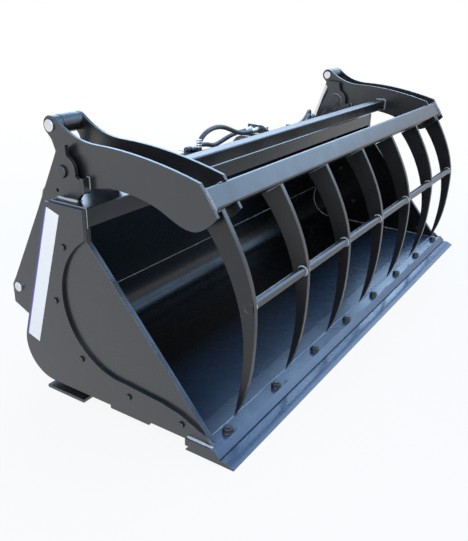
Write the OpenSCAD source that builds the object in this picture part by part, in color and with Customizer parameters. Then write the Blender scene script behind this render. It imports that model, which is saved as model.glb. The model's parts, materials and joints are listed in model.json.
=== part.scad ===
// Grab bucket for a telescopic handler: a wide bucket with a hydraulic tined grab over its mouth.
// Millimetres. X runs along the width, the cutting edge faces -Y, +Z is up.
// The origin is under the middle of the part, on the ground.

/* [Bucket] */
// Width over the cutting edge
bucket_w = 2300; // [1800:10:2600]
// Height of the top beam above the ground
beam_top_z = 690; // [660:5:720]
// Height of the floor's underside above the ground
floor_z = 30; // [26:1:34]
// Thickness of the floor, heel and back sheets
shell_t = 8; // [6:0.5:10]
// Outer radius of the heel bend
heel_r = 125; // [110:1:140]
// Lean of the back wall from upright, degrees
back_lean = 18; // [16:0.5:20]
// Distance from the cutting tip to the top of the back wall
back_top_y = 716; // [700:1:730]
// Height of the weld between the heel sheet and the back sheet
seam_z = 217; // [205:1:240]

/* [Ends] */
// Distance of the side plates in from the ends of the cutting edge
side_inset = 12; // [6:1:20]
// Thickness of the side plates
side_t = 12; // [8:1:16]
// Thickness of the end sheets
end_t = 8; // [6:1:12]
// Distance from the cutting tip to the beam front and the side plate front
mouth_y = 557; // [545:1:570]
// Height of the lower corner of the side plate's front edge
horn_z = 592; // [575:1:610]
// Radius of the cut-out in the side plate
cutout_r = 245; // [230:1:255]
// Width of the stiffening bar along the mouth of the end sheet
cutter_w = 48; // [30:1:60]
// Thickness of the stiffening bar
cutter_t = 12; // [8:1:16]
// Diameter of the side plate bolts
side_bolt_d = 12; // [8:1:16]

/* [Cutting edge] */
// Thickness of the bolt-on edge
edge_t = 16; // [12:1:20]
// Depth of the bolt-on edge
edge_depth = 176; // [150:1:178]
// Thickness of the toe plate
toe_t = 25; // [20:1:30]
// Distance from the cutting tip to the front of the toe plate
toe_y = 48; // [40:1:52]
// Distance from the cutting tip to the front of the floor sheet
floor_y = 178; // [178:1:190]
// Pitch of the edge bolts
edge_bolt_pitch = 300; // [250:5:310]
// Diameter of the edge bolts
edge_bolt_d = 20; // [16:1:24]
// Distance from the cutting tip to the edge bolts
edge_bolt_y = 87; // [86:1:90]

/* [Wear strips] */
// Thickness of the wear strips
strip_t = 12; // [8:1:16]
// Distance from the cutting tip to the front of the heel strip
heel_strip_y = 607; // [590:1:630]
// Depth of the heel strip
heel_strip_w = 174; // [130:1:180]
// Distance from the cutting tip to the front of the middle strip
mid_strip_y = 330; // [300:1:360]
// Depth of the middle strip
mid_strip_w = 164; // [120:1:180]

/* [Top beam] */
// Height of the top beam
beam_h = 63; // [50:1:80]
// Wall of the top beam
beam_wall = 8; // [5:1:10]

/* [Towers] */
// Distance of each cylinder's centre line in from the end of the cutting edge
cyl_inset = 158.5; // [150:0.5:180]
// Clear width between the two plates of a tower
tower_gap = 153; // [150:1:170]
// Thickness of the tower plates
tower_t = 15; // [10:1:18]
// Thickness of the cheek plate round the pivot
cheek_t = 8; // [6:1:10]

/* [Pivots] */
// Distance from the cutting tip to the grab pivot
pivot_y = 684; // [680:1:688]
// Height of the grab pivot
pivot_z = 777; // [772:1:782]
// Diameter of the pivot pin
pivot_d = 40; // [35:1:45]
// Distance from the cutting tip to the rod end pin
rod_pin_y = 752; // [748:1:756]
// Height of the rod end pin
rod_pin_z = 905; // [900:1:910]
// Diameter of the rod end pin
rod_pin_d = 25; // [22:0.5:27]
// Distance from the cutting tip to the cylinder base pin
base_pin_y = 958; // [954:1:962]
// Height of the cylinder base pin
base_pin_z = 320; // [315:1:325]
// Diameter of the base pin
base_pin_d = 35; // [30:1:40]
// Radial gap of a pin in the eye or bush that turns on it
running_gap = 0.05; // [0.02:0.01:0.1]

/* [Cylinders] */
// Outside diameter of the barrel
barrel_d = 70; // [64:1:76]
// Bore of the barrel
barrel_bore = 50; // [45:1:54]
// Length from the base pin to the face of the gland
barrel_len = 372; // [360:1:380]
// Diameter of the piston rod
rod_d = 35; // [30:1:38]
// Length from the rod end pin to the end of the rod
rod_len = 380; // [360:1:400]
// Width of the eyes at both ends of a cylinder
eye_w = 60; // [50:1:70]
// Outside diameter of the rod eye
rod_eye_d = 60; // [58:1:64]
// Radial gap of the rod eye round its pin, the open pivot of the linkage
open_pivot_gap = 9.8; // [9.7:0.1:10]

/* [Grab] */
// Thickness of the arm plates
arm_t = 12; // [8:1:15]
// Clear width between the two plates of an arm
arm_gap = 103; // [100:1:106]
// Radius of the arm round the rod end pin
arm_eye_r = 30; // [28:1:32]
// Radius of the arm round the pivot
arm_boss_r = 55; // [50:1:56]
// Size of the square front rail
rail_size = 70; // [60:1:75]
// Distance from the cutting tip to the middle of the front rail
rail_y = 189; // [185:1:193]
// Height of the middle of the front rail
rail_z = 750; // [745:1:755]
// Tilt of the front rail, degrees
rail_tilt = 34; // [32:0.5:36]
// Wall of the front rail and the cross rail
rail_wall = 6; // [4:0.5:8]
// Size of the square cross rail
cross_size = 48; // [40:1:55]
// Distance from the cutting tip to the middle of the cross rail
cross_y = 433; // [425:1:445]
// Height of the middle of the cross rail
cross_z = 777; // [772:1:782]
// Pitch of the tines
tine_pitch = 332.8; // [300:0.1:335]
// Thickness of a tine
tine_t = 18; // [12:1:20]
// Diameter of the round bar through the tines
bar_d = 32; // [25:1:34]
// Height of the round bar
bar_z = 460; // [440:1:480]

/* [Carriage brackets] */
// Distance from the middle to the inner face of a bracket's inner plate
hitch_x = 300; // [250:5:400]
// Thickness of the bracket plates
hitch_t = 20; // [15:1:25]
// Clear width between the two plates of a bracket
hitch_gap = 60; // [50:1:80]
// Diameter of the carriage bar that the hook holds
hook_bar_d = 50; // [45:1:52]
// Diameter of the lock pin bore
lock_bore_d = 40; // [35:1:45]

/* [Hydraulics] */
// Outside diameter of the hoses
hose_d = 20; // [16:1:22]
// Distance from the cutting tip to the middle of the hose manifold
manifold_y = 755; // [752:1:760]

/* [Hidden] */
$fn = 64;

paint = [0.13, 0.135, 0.145];
paint_dark = [0.06, 0.06, 0.065];
zinc = [0.80, 0.81, 0.83];
chrome = [0.72, 0.73, 0.75];
white = [0.95, 0.95, 0.94];
rubber = [0.03, 0.03, 0.03];

// Places along X
half_w = bucket_w / 2;
side_x = half_w - side_inset;
end_x = side_x - side_t;
shell_x = end_x - end_t;
cyl_x = half_w - cyl_inset;
tower_in = tower_gap / 2;
tower_out = tower_in + tower_t;
arm_in = arm_gap / 2;
arm_out = arm_in + arm_t;

// Small gap between pieces that lie loosely against each other
seat_gap = 0.3;
// Radial gap of a bolt in its hole
bolt_gap = 0.5;

// The whole part runs from the cutting tip at 0 to the rear of the towers
base_lobe_r = 37;
part_depth = base_pin_y + base_lobe_r;

// Heel bend: its centre, from the back wall that leans through back_top_y
heel_z = floor_z + heel_r;
heel_y = back_top_y - (heel_r - (beam_top_z - heel_z) * sin(back_lean)) / cos(back_lean);

// Distance back of the wall's face at height z, a depth off inside its outer face
function wall_y(z, off) = heel_y + (heel_r - off - (z - heel_z) * sin(back_lean)) / cos(back_lean);
function arc(c, r, a0, a1, n) = [for (i = [0:n]) c + r * [cos(a0 + (a1 - a0) * i / n),
                                                          sin(a0 + (a1 - a0) * i / n)]];
function heel_arc(off) = arc([heel_y, heel_z], heel_r - off, -90, back_lean, 18);
function reversed(list) = [for (i = [len(list) - 1:-1:0]) list[i]];
function bez_point(p, t) = pow(1 - t, 3) * p[0] + 3 * pow(1 - t, 2) * t * p[1]
                           + 3 * (1 - t) * t * t * p[2] + pow(t, 3) * p[3];
function bez(p, n) = [for (i = [1:n]) bez_point(p, i / n)];

// The part's frame: y is counted from the cutting tip inside each module
module placed() {
    translate([0, -part_depth / 2, 0]) children();
}

// A flat outline in Y and Z, given thickness from x0 to x1
module plate(x0, x1) {
    translate([x0, 0, 0]) rotate([90, 0, 90]) linear_extrude(x1 - x0) children();
}

// A round bar along X
module bar_x(x0, x1, y, z, d) {
    translate([x0, y, z]) rotate([0, 90, 0]) cylinder(h = x1 - x0, d = d);
}

// The same piece at the right end, or mirrored at the left end
module at_end(side) {
    if (side > 0) children();
    else mirror([1, 0, 0]) children();
}

// Floor, heel and back

module heel_floor_sheet() {
    top_cut = seam_z;
    outline = concat([[floor_y, floor_z + shell_t], [floor_y, floor_z]], heel_arc(0),
                     [[wall_y(top_cut, 0), top_cut], [wall_y(top_cut, shell_t), top_cut]],
                     reversed(heel_arc(shell_t)));
    placed() color(paint) plate(-shell_x, shell_x) polygon(outline);
}

module back_sheet() {
    placed() color(paint) plate(-shell_x, shell_x)
        polygon([[wall_y(seam_z, 0), seam_z], [wall_y(beam_top_z, 0), beam_top_z],
                 [wall_y(beam_top_z, shell_t), beam_top_z], [wall_y(seam_z, shell_t), seam_z]]);
}

beam_low_z = beam_top_z - beam_h;

module beam_outline(w) {
    polygon([[mouth_y + w, beam_low_z + w], [mouth_y + w, beam_top_z - w],
             [wall_y(beam_top_z - w, shell_t) - w, beam_top_z - w],
             [wall_y(beam_low_z + w, shell_t) - w, beam_low_z + w]]);
}

module top_beam() {
    placed() color(paint) plate(-shell_x, shell_x) difference() {
        beam_outline(0);
        beam_outline(beam_wall);
    }
}

// Ends

toe_top_z = edge_t + toe_t;
end_toe_y = 92;
side_toe_y = 80;
end_notch_z = horn_z - 7;

function end_outline(toe, front) = concat(
    front,
    [[mouth_y, beam_top_z], [wall_y(beam_top_z, 0), beam_top_z]],
    reversed(heel_arc(0)),
    [[floor_y, floor_z], [floor_y, toe_top_z], [toe, toe_top_z]]);

module end_sheet(side) {
    placed() at_end(side) color(paint) difference() {
        plate(shell_x, end_x) polygon(end_outline(end_toe_y, [[mouth_y, end_notch_z]]));
        for (p = side_bolts) bar_x(shell_x - 1, end_x + 1, p[0], p[1], side_bolt_d + 2 * bolt_gap);
    }
}

// Centres of the side plate bolts
side_bolts = [[652, 552], [711, 353], [612, 165], [410, 93], [199, 75]];

// The round cut-out starts at the front edge and ends over the floor
cutout_z = 382;
cutout_y = mouth_y - sqrt(pow(cutout_r, 2) - pow(horn_z - cutout_z, 2));
rim_end = [349, 130];
rim_toe = [[277, 124], [208, 110], [155, 87], [100, 58]];

function cutout_angle() = atan2(horn_z - cutout_z, mouth_y - cutout_y);

module side_plate(side) {
    rim = arc([cutout_y, cutout_z], cutout_r, -92, cutout_angle(), 36);
    front = concat(reversed(rim_toe), [rim_end], rim);
    placed() at_end(side) color(paint) difference() {
        plate(end_x, side_x) polygon(end_outline(side_toe_y, front));
        for (p = side_bolts) bar_x(end_x - 1, side_x + 1, p[0], p[1], side_bolt_d + 2 * bolt_gap);
    }
}

// Stiffening bar on the inside of the end sheet, along the mouth from the toe plate to the beam
module mouth_bar(side) {
    run = [mouth_y - end_toe_y, end_notch_z - toe_top_z];
    back = cutter_w * norm(run) / run[1];
    placed() at_end(side) color(paint) plate(shell_x - cutter_t, shell_x)
        polygon([[end_toe_y, toe_top_z], [mouth_y, end_notch_z], [mouth_y, beam_low_z],
                 [mouth_y + back, beam_low_z], [mouth_y + back, end_notch_z],
                 [end_toe_y + back, toe_top_z]]);
}

side_bolt_head_h = 7;

module side_plate_bolts() {
    head_d = side_bolt_d * 1.8;
    placed() color(paint_dark) for (side = [-1, 1]) at_end(side) for (p = side_bolts) {
        bar_x(shell_x, side_x, p[0], p[1], side_bolt_d);
        bar_x(side_x, side_x + side_bolt_head_h, p[0], p[1], head_d);
        bar_x(shell_x - side_bolt_head_h, shell_x, p[0], p[1], head_d);
    }
}

// Plain white strip along the rear of each side plate
strip_sheet_t = 1;
strip_edge = 8;
strip_w = 60;
strip_low_z = seam_z - 30;
strip_top_z = beam_top_z - 15;

module marker_strips() {
    function corner(z, across) = [wall_y(z, strip_edge) - across * cos(back_lean),
                                  z - across * sin(back_lean)];
    placed() color(white) for (side = [-1, 1]) at_end(side) plate(side_x, side_x + strip_sheet_t)
        polygon([corner(strip_low_z, 0), corner(strip_top_z, 0),
                 corner(strip_top_z, strip_w), corner(strip_low_z, strip_w)]);
}

// Cutting edge

edge_bevel = 26;
edge_land = 4;
edge_rear_bevel = 16;
toe_bevel = 22;
// Small relief under the front of the toe plate, which leaves a groove over the edge
toe_relief = 5;
edge_bolt_n = 8;

function edge_bolt_x() = [for (i = [0:edge_bolt_n - 1]) (i - (edge_bolt_n - 1) / 2) * edge_bolt_pitch];

module toe_plate() {
    placed() color(paint) difference() {
        plate(-half_w, half_w) polygon([[toe_y + toe_relief, edge_t], [toe_y, edge_t + toe_relief],
                                        [toe_y + toe_bevel, toe_top_z], [floor_y, toe_top_z],
                                        [floor_y, edge_t]]);
        for (x = edge_bolt_x()) translate([x, edge_bolt_y, edge_t - 1])
            cylinder(h = toe_t + 2, d = edge_bolt_d + 2 * bolt_gap);
    }
}

// Depth of the countersink for the flat bolt heads under the edge
sink_h = 10;
sink_d = edge_bolt_d + 2 * sink_h;

module bolt_on_edge() {
    placed() color(paint) difference() {
        plate(-half_w, half_w) polygon([[0, 0], [0, edge_land], [edge_bevel, edge_t],
                                        [edge_depth - edge_rear_bevel, edge_t],
                                        [edge_depth, edge_land], [edge_depth, 0]]);
        for (x = edge_bolt_x()) translate([x, edge_bolt_y, 0]) {
            translate([0, 0, -1]) cylinder(h = edge_t + 2, d = edge_bolt_d + 2 * bolt_gap);
            translate([0, 0, -1]) cylinder(h = sink_h + 1, d1 = sink_d + 2, d2 = edge_bolt_d);
        }
    }
}

nut_h = 16;
nut_af = edge_bolt_d * 1.5;
washer_h = 3;

module edge_bolts() {
    thread_top = toe_top_z + washer_h + nut_h + 4;
    placed() color(paint_dark) for (x = edge_bolt_x()) translate([x, edge_bolt_y, 0]) {
        translate([0, 0, 2]) cylinder(h = sink_h - 2, d1 = sink_d - 4.6, d2 = edge_bolt_d);
        translate([0, 0, sink_h]) cylinder(h = thread_top - sink_h, d = edge_bolt_d);
    }
}

module edge_nuts() {
    placed() color(paint_dark) for (x = edge_bolt_x()) translate([x, edge_bolt_y, toe_top_z])
        difference() {
            union() {
                cylinder(h = washer_h, d = nut_af * 1.12);
                translate([0, 0, washer_h]) cylinder(h = nut_h, d = nut_af / cos(30), $fn = 6);
            }
            translate([0, 0, -1]) cylinder(h = washer_h + nut_h + 2, d = edge_bolt_d + 2 * running_gap);
        }
}

// Wear strips under the floor

module heel_wear_strip() {
    placed() color(paint) translate([-half_w, heel_strip_y, 0])
        cube([2 * half_w, heel_strip_w, strip_t]);
}

module middle_wear_strip() {
    placed() color(paint) translate([-side_x, mid_strip_y, floor_z - strip_t])
        cube([2 * side_x, mid_strip_w, strip_t]);
}

packer_w = 70;
packer_n = 7;

module heel_packers() {
    pitch = (2 * side_x - 220) / (packer_n - 1);
    placed() color(paint) for (i = [0:packer_n - 1])
        translate([(i - (packer_n - 1) / 2) * pitch - packer_w / 2, heel_strip_y + 15, strip_t])
            cube([packer_w, 80, floor_z - strip_t]);
}

// Towers: each carries the grab pivot above the beam and the cylinder base pin behind the wall

step_y = pivot_y - 70;
tower_low_z = heel_z + 50;

function from_pivot(y, z) = [pivot_y + y, pivot_z + z];
function from_base_pin(y, z) = [base_pin_y + y, base_pin_z + z];
function tower_foot() = [[step_y + 12, beam_top_z], [wall_y(beam_top_z, 0), beam_top_z],
                         [wall_y(tower_low_z, 0), tower_low_z], from_base_pin(-26, -98),
                         from_base_pin(base_lobe_r, -69), from_base_pin(base_lobe_r, 0),
                         from_base_pin(16, 33), from_pivot(134, -148)];
function tower_nose(r) = concat(arc([pivot_y, pivot_z], r, 113, 190, 8),
                                [[step_y, pivot_z - 20], [step_y, beam_top_z + 21],
                                 [step_y + 12, beam_top_z + 6]]);

module tower_outline(top, nose_r) {
    polygon(concat(tower_foot(), top, tower_nose(nose_r)));
}

module tower_holes() {
    bar_x(-bucket_w, bucket_w, pivot_y, pivot_z, pivot_d + 0.2);
    bar_x(-bucket_w, bucket_w, base_pin_y, base_pin_z, base_pin_d + 0.2);
}

module tower_outer(side) {
    placed() at_end(side) color(paint) difference() {
        plate(cyl_x + tower_in, cyl_x + tower_out)
            tower_outline([from_pivot(23, 58), from_pivot(-18, 83)], 54);
        tower_holes();
        bar_x(0, bucket_w, pivot_y + 30, pivot_z - 64, 12);
    }
}

port_hole_d = 40;

// Rear edge of an inner tower plate above its foot, with the notch that leaves the rod in sight
function inner_rear_edge() = [
    from_pivot(98, -81), from_pivot(76, -17), from_pivot(52, 31), from_pivot(44, 60),
    from_pivot(63, 81), from_pivot(61, 102), from_pivot(-13, 97)];

module tower_inner(side) {
    placed() at_end(side) color(paint) difference() {
        plate(cyl_x - tower_out, cyl_x - tower_in)
            tower_outline(inner_rear_edge(), 58);
        tower_holes();
        for (s = port_stations) port_at(s) cylinder(h = bucket_w, d = port_hole_d, center = true);
    }
}

module tower_cheeks() {
    placed() color(paint) for (side = [-1, 1]) at_end(side)
        difference() {
            plate(cyl_x - tower_out - cheek_t, cyl_x - tower_out) {
                translate([pivot_y, pivot_z]) circle(r = 36);
                polygon([[pivot_y - 33, pivot_z - 14], [pivot_y + 36, pivot_z],
                         [pivot_y + 62, pivot_z - 66], [pivot_y + 22, pivot_z - 66]]);
            }
            tower_holes();
        }
}

pin_proud = 9;

module pivot_pins() {
    placed() color(paint_dark) for (side = [-1, 1]) at_end(side) {
        bar_x(cyl_x - tower_out - cheek_t, cyl_x + tower_out + pin_proud, pivot_y, pivot_z, pivot_d);
        bar_x(cyl_x - tower_out - cheek_t - 6, cyl_x - tower_out - cheek_t, pivot_y, pivot_z,
              pivot_d + 12);
    }
}

module base_pins() {
    placed() color(zinc) for (side = [-1, 1]) at_end(side) {
        bar_x(cyl_x - tower_out - pin_proud, cyl_x + tower_out + pin_proud, base_pin_y, base_pin_z,
              base_pin_d);
    }
}

// A small flat keeper and its screw hold each base pin from turning or sliding out
module pin_keepers() {
    keeper_y = base_pin_y - base_pin_d / 2 - 11;
    placed() color(zinc) for (side = [-1, 1]) at_end(side) {
        translate([cyl_x - tower_out - 6, keeper_y - 10, base_pin_z - 20]) cube([6, 20, 40]);
        bar_x(cyl_x - tower_out - 12, cyl_x - tower_out - 6, keeper_y, base_pin_z, 14);
    }
}

// Carriage brackets behind the back wall: an open hook over the upper bar, a bore for the lock pin

backing_t = 12;
hook_y = 905;
hook_z = 588;
hook_gap = 1.5;
hook_boss_r = 62;
hook_depth = 50;
lock_y = 935;
lock_z = 170;
lock_boss_r = 50;
bracket_top_z = 645;
bracket_low_z = 224;

module bracket_outline() {
    seat_r = hook_bar_d / 2 + hook_gap;
    difference() {
        polygon(concat([[wall_y(bracket_top_z, -backing_t), bracket_top_z]],
                       reversed(arc([hook_y, hook_z], hook_boss_r, 0, 85, 8)),
                       [[hook_y + hook_boss_r, hook_z - hook_depth + 12],
                        [hook_y + hook_boss_r - 12, hook_z - hook_depth],
                        [hook_y - seat_r, hook_z - hook_depth], [hook_y, (hook_z + lock_z) / 2 + 50]],
                       reversed(arc([lock_y, lock_z], lock_boss_r, -160, 30, 14)),
                       [[wall_y(bracket_low_z, -backing_t), bracket_low_z]]));
        translate([hook_y, hook_z]) circle(r = seat_r);
        translate([hook_y - seat_r, hook_z - hook_depth - 10]) square([2 * seat_r, hook_depth + 10]);
        translate([lock_y, lock_z]) circle(d = lock_bore_d);
    }
}

module carriage_bracket(side) {
    placed() at_end(side) color(paint) for (x = [hitch_x, hitch_x + hitch_t + hitch_gap])
        plate(x, x + hitch_t) bracket_outline();
}

module bracket_backing_plates() {
    edge = 30;
    backing_top_z = bracket_top_z + 10;
    placed() color(paint) for (side = [-1, 1]) at_end(side)
        plate(hitch_x - edge, hitch_x + 2 * hitch_t + hitch_gap + edge)
            polygon([[wall_y(backing_top_z, 0), backing_top_z], [wall_y(bracket_low_z, 0), bracket_low_z],
                     [wall_y(bracket_low_z, -backing_t), bracket_low_z],
                     [wall_y(backing_top_z, -backing_t), backing_top_z]]);
}

// Cylinders: the axis at rest runs from the base pin to the rod end pin

cyl_lean = atan2(base_pin_y - rod_pin_y, rod_pin_z - base_pin_z);
cyl_rest = norm([base_pin_y - rod_pin_y, rod_pin_z - base_pin_z]);

// Puts a piece that is drawn along +Z from the base pin onto the cylinder's axis
module on_cylinder(side) {
    placed() at_end(side) translate([cyl_x, base_pin_y, base_pin_z]) rotate([cyl_lean, 0, 0])
        children();
}

// Distances of the two oil ports from the base pin, along the axis
port_stations = [65, 120];

module port_at(s) {
    translate([cyl_x, base_pin_y - s * sin(cyl_lean), base_pin_z + s * cos(cyl_lean)])
        rotate([0, 90, 0]) children();
}

base_cap = 45;
gland_h = 24;
port_d = 28;
port_reach = barrel_d / 2 + 14;
pipe_d = 12;

module barrel(side) {
    tube_top = barrel_len - gland_h;
    on_cylinder(side) color(paint_dark) difference() {
        union() {
            translate([0, 0, 20]) cylinder(h = tube_top - 20, d = barrel_d);
            rotate([0, 90, 0]) cylinder(h = eye_w, d = base_pin_d + 26, center = true);
            for (s = port_stations) translate([-port_reach, 0, s]) rotate([0, 90, 0])
                cylinder(h = port_reach - barrel_bore / 2 - 2, d = port_d);
            translate([-port_reach + port_d / 2, 0, port_stations[1]])
                cylinder(h = tube_top - 40 - port_stations[1], d = pipe_d);
            translate([-port_reach + 5, 0, tube_top - 40]) rotate([0, 90, 0])
                cylinder(h = port_reach - barrel_bore / 2 - 7, d = pipe_d + 12);
        }
        translate([0, 0, base_cap]) cylinder(h = barrel_len, d = barrel_bore);
        rotate([0, 90, 0]) cylinder(h = eye_w + 2, d = base_pin_d + 2 * running_gap, center = true);
    }
}

module gland(side) {
    on_cylinder(side) color(paint_dark) translate([0, 0, barrel_len - gland_h]) difference() {
        union() {
            cylinder(h = gland_h - 4, d = barrel_d + 4);
            translate([0, 0, gland_h - 4]) cylinder(h = 4, d = rod_d + 16);
        }
        translate([0, 0, -1]) cylinder(h = gland_h + 2, d = rod_d + 2 * running_gap);
    }
}

piston_h = 30;

module rod(side) {
    eye_bore = rod_pin_d + 2 * open_pivot_gap;
    on_cylinder(side) color(chrome) difference() {
        union() {
            translate([0, 0, cyl_rest - rod_len + piston_h])
                cylinder(h = rod_len - piston_h - rod_eye_d / 2 + 4, d = rod_d);
            translate([0, 0, cyl_rest - rod_len])
                cylinder(h = piston_h, d = barrel_bore - 2 * running_gap);
            translate([0, 0, cyl_rest]) rotate([0, 90, 0])
                cylinder(h = eye_w, d = rod_eye_d, center = true);
        }
        translate([0, 0, cyl_rest]) rotate([0, 90, 0])
            cylinder(h = eye_w + 2, d = eye_bore, center = true);
    }
}

// Grab arms

function rail_point(a, b) = [rail_y, rail_z] + a * [cos(rail_tilt), -sin(rail_tilt)]
                            + b * [sin(rail_tilt), cos(rail_tilt)];

function from_rail(y, z) = [rail_y + y, rail_z + z];
function from_rod_pin(y, z) = [rod_pin_y + y, rod_pin_z + z];

// Round the outside of an arm plate: over the top to the nose, under the rail and back to the pivot
function arm_outline() = concat(
    [from_rod_pin(-20, 23)],
    bez([from_rod_pin(-20, 23), from_rod_pin(-62, -10), from_pivot(-44, 91), from_pivot(-124, 91)], 10),
    bez([from_pivot(-124, 91), from_pivot(-244, 91), from_rail(111, 95), from_rail(-3, 62)], 8),
    [from_rail(-62, -25)],
    bez([from_rail(-62, -25), from_rail(-39, -53), from_rail(-4, -81), from_rail(25, -81)], 6),
    bez([from_rail(25, -81), from_rail(66, -81), from_rail(101, -55), from_rail(137, -40)], 6),
    bez([from_rail(137, -40), from_rail(191, -17), from_pivot(-244, -35), from_pivot(-168, -33)], 6),
    [from_pivot(-68, -53), from_pivot(0, -arm_boss_r), from_pivot(arm_boss_r, 0), from_pivot(55, 52),
     from_rod_pin(0, -43), from_rod_pin(26, -15)]);

bush_d = pivot_d + 22;

module arm_plate() {
    difference() {
        union() {
            polygon(arm_outline());
            translate([rod_pin_y, rod_pin_z]) circle(r = arm_eye_r);
            translate([pivot_y, pivot_z]) circle(r = arm_boss_r);
        }
        translate([pivot_y, pivot_z]) circle(d = bush_d);
        translate([rod_pin_y, rod_pin_z]) circle(d = rod_pin_d + 0.2);
    }
}

module grab_arm_outer(side) {
    placed() at_end(side) color(paint) plate(cyl_x + arm_in, cyl_x + arm_out) arm_plate();
}

// The inner plate ends on the top and rear faces of the front rail, with a nose below it
module grab_arm_inner(side) {
    far = 200;
    h = rail_size / 2;
    placed() at_end(side) color(paint) plate(cyl_x - arm_out, cyl_x - arm_in) difference() {
        arm_plate();
        polygon([rail_point(-far, -h), rail_point(h, -h), rail_point(h, h), rail_point(-far, h)]);
        polygon([rail_point(-far, 0), rail_point(-h, 0), rail_point(-h, far), rail_point(-far, far)]);
    }
}

module pivot_bushes() {
    half = tower_in - 0.5;
    placed() color(paint_dark) for (side = [-1, 1]) at_end(side) difference() {
        bar_x(cyl_x - half, cyl_x + half, pivot_y, pivot_z, bush_d);
        bar_x(cyl_x - half - 1, cyl_x + half + 1, pivot_y, pivot_z, pivot_d + 2 * running_gap);
    }
}

pin_head_h = 7;
pin_head_d = 38;

module rod_pins() {
    placed() color(zinc) for (side = [-1, 1]) at_end(side) {
        bar_x(cyl_x - arm_out, cyl_x + arm_out, rod_pin_y, rod_pin_z, rod_pin_d);
        bar_x(cyl_x + arm_out, cyl_x + arm_out + pin_head_h, rod_pin_y, rod_pin_z, pin_head_d);
        bar_x(cyl_x - arm_out - pin_head_h, cyl_x - arm_out, rod_pin_y, rod_pin_z, pin_head_d);
    }
}

module rod_spacers() {
    inner = eye_w / 2 + 0.5;
    placed() color(paint) for (side = [-1, 1]) at_end(side) for (s = [-1, 1]) difference() {
        bar_x(cyl_x + min(s * inner, s * arm_in), cyl_x + max(s * inner, s * arm_in),
              rod_pin_y, rod_pin_z, rod_eye_d - 2);
        bar_x(0, bucket_w, rod_pin_y, rod_pin_z, rod_pin_d + 0.2);
    }
}

// A block on the outside of each arm plate rests on the tower's step when the grab is closed
module closing_stops() {
    stop_w = 15;
    rear = step_y - seat_gap;
    low_z = pivot_z - 61;
    placed() color(paint) for (side = [-1, 1]) at_end(side) for (x0 = [cyl_x - tower_out, cyl_x + arm_out])
        plate(x0, x0 + tower_out - arm_out) {
            translate([rear - stop_w, low_z + stop_w / 2]) square([stop_w, 42]);
            translate([rear - stop_w / 2, low_z + stop_w / 2]) circle(d = stop_w);
        }
}

// Rails

module tube_section(size, wall, corner) {
    c = size / 2 - corner;
    difference() {
        union() {
            square([size, 2 * c], center = true);
            square([2 * c, size], center = true);
            for (x = [-c, c]) for (y = [-c, c]) translate([x, y]) circle(r = corner);
        }
        square(size - 2 * wall, center = true);
    }
}

module front_rail() {
    reach = cyl_x + arm_in;
    placed() color(paint) plate(-reach, reach) translate([rail_y, rail_z]) rotate(-rail_tilt)
        tube_section(rail_size, rail_wall, 9);
}

module cross_rail() {
    reach = cyl_x - arm_out;
    placed() color(paint) plate(-reach, reach) translate([cross_y, cross_z])
        tube_section(cross_size, rail_wall, 6);
}

// Tines: curved blades that hang from the underside of the front rail to just over the toe plate

tine_n = 7;
tine_tip = [toe_y + 47, toe_top_z + 25];
bar_y = 50;

function from_bar(y, z) = [bar_y + y, bar_z + z];

module tine_blade() {
    h = rail_size / 2;
    top_front = rail_point(-h + 9, -h);
    top_rear = rail_point(h + 20, -h);
    front_mid = from_bar(-21, -50);
    rear_mid = from_bar(16, -156);
    polygon(concat(
        [top_rear, top_front],
        bez([top_front, from_rail(-101, -110), from_bar(-23, 70), front_mid], 9),
        bez([front_mid, from_bar(-21, -160), from_bar(-14, -290), tine_tip], 8),
        bez([tine_tip, from_bar(28, -310), from_bar(16, -230), rear_mid], 6),
        bez([rear_mid, from_bar(13, -20), from_rail(-67, -165), top_rear], 9)));
}

module tine(i) {
    x = (i - (tine_n + 1) / 2) * tine_pitch;
    placed() color(paint) difference() {
        plate(x - tine_t / 2, x + tine_t / 2) tine_blade();
        bar_x(x - tine_t, x + tine_t, bar_y, bar_z, bar_d);
    }
}

module tine_cross_bar() {
    reach = (tine_n - 1) / 2 * tine_pitch + tine_t / 2;
    placed() color(paint) bar_x(-reach, reach, bar_y, bar_z, bar_d);
}

// Hydraulic lines

// Height and distances of the hose run along the back of the wall
run_z = 677;
run_y = [736, 760];

manifold_x = -325;
manifold_size = [96, 50, 28];
manifold_low_z = run_z - 11;
manifold_top_z = manifold_low_z + manifold_size[2];
shelf_t = 6;
elbow_d = 24;
elbow_reach = 26;
elbow_rise = 12;
socket_h = 16;
// Places of the elbow and of the socket on top of the manifold
elbow_at = [manifold_x - 20, manifold_y + 12];
socket_at = [manifold_x + 33, manifold_y - 12];

module elbow() {
    cylinder(h = elbow_rise, d = elbow_d);
    translate([0, 0, elbow_rise]) sphere(d = elbow_d);
    translate([0, 0, elbow_rise]) rotate([0, 90, 0]) cylinder(h = elbow_reach, d = elbow_d);
}

module hose_manifold() {
    w = manifold_size;
    rear_y = manifold_y + w[1] / 2;
    shelf_z = manifold_low_z - shelf_t;
    placed() color(paint_dark) {
        plate(manifold_x - w[0] / 2, manifold_x + w[0] / 2)
            polygon([[wall_y(shelf_z, 0), shelf_z], [wall_y(manifold_low_z, 0), manifold_low_z],
                     [rear_y, manifold_low_z], [rear_y, shelf_z]]);
        translate([manifold_x - w[0] / 2, manifold_y - w[1] / 2, manifold_low_z]) cube(w);
        translate([elbow_at[0], elbow_at[1], manifold_top_z]) elbow();
        translate([socket_at[0], socket_at[1], manifold_top_z]) cylinder(h = socket_h, d = elbow_d);
    }
}

// Quick couplers in a holder plate that stands on the beam
holder_x = 215;
holder_t = 6;
holder_front = 686;
coupler_z = 708;
coupler_y = [764, 800];
coupler_neck_d = 22;
coupler_tail = 25;

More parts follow.
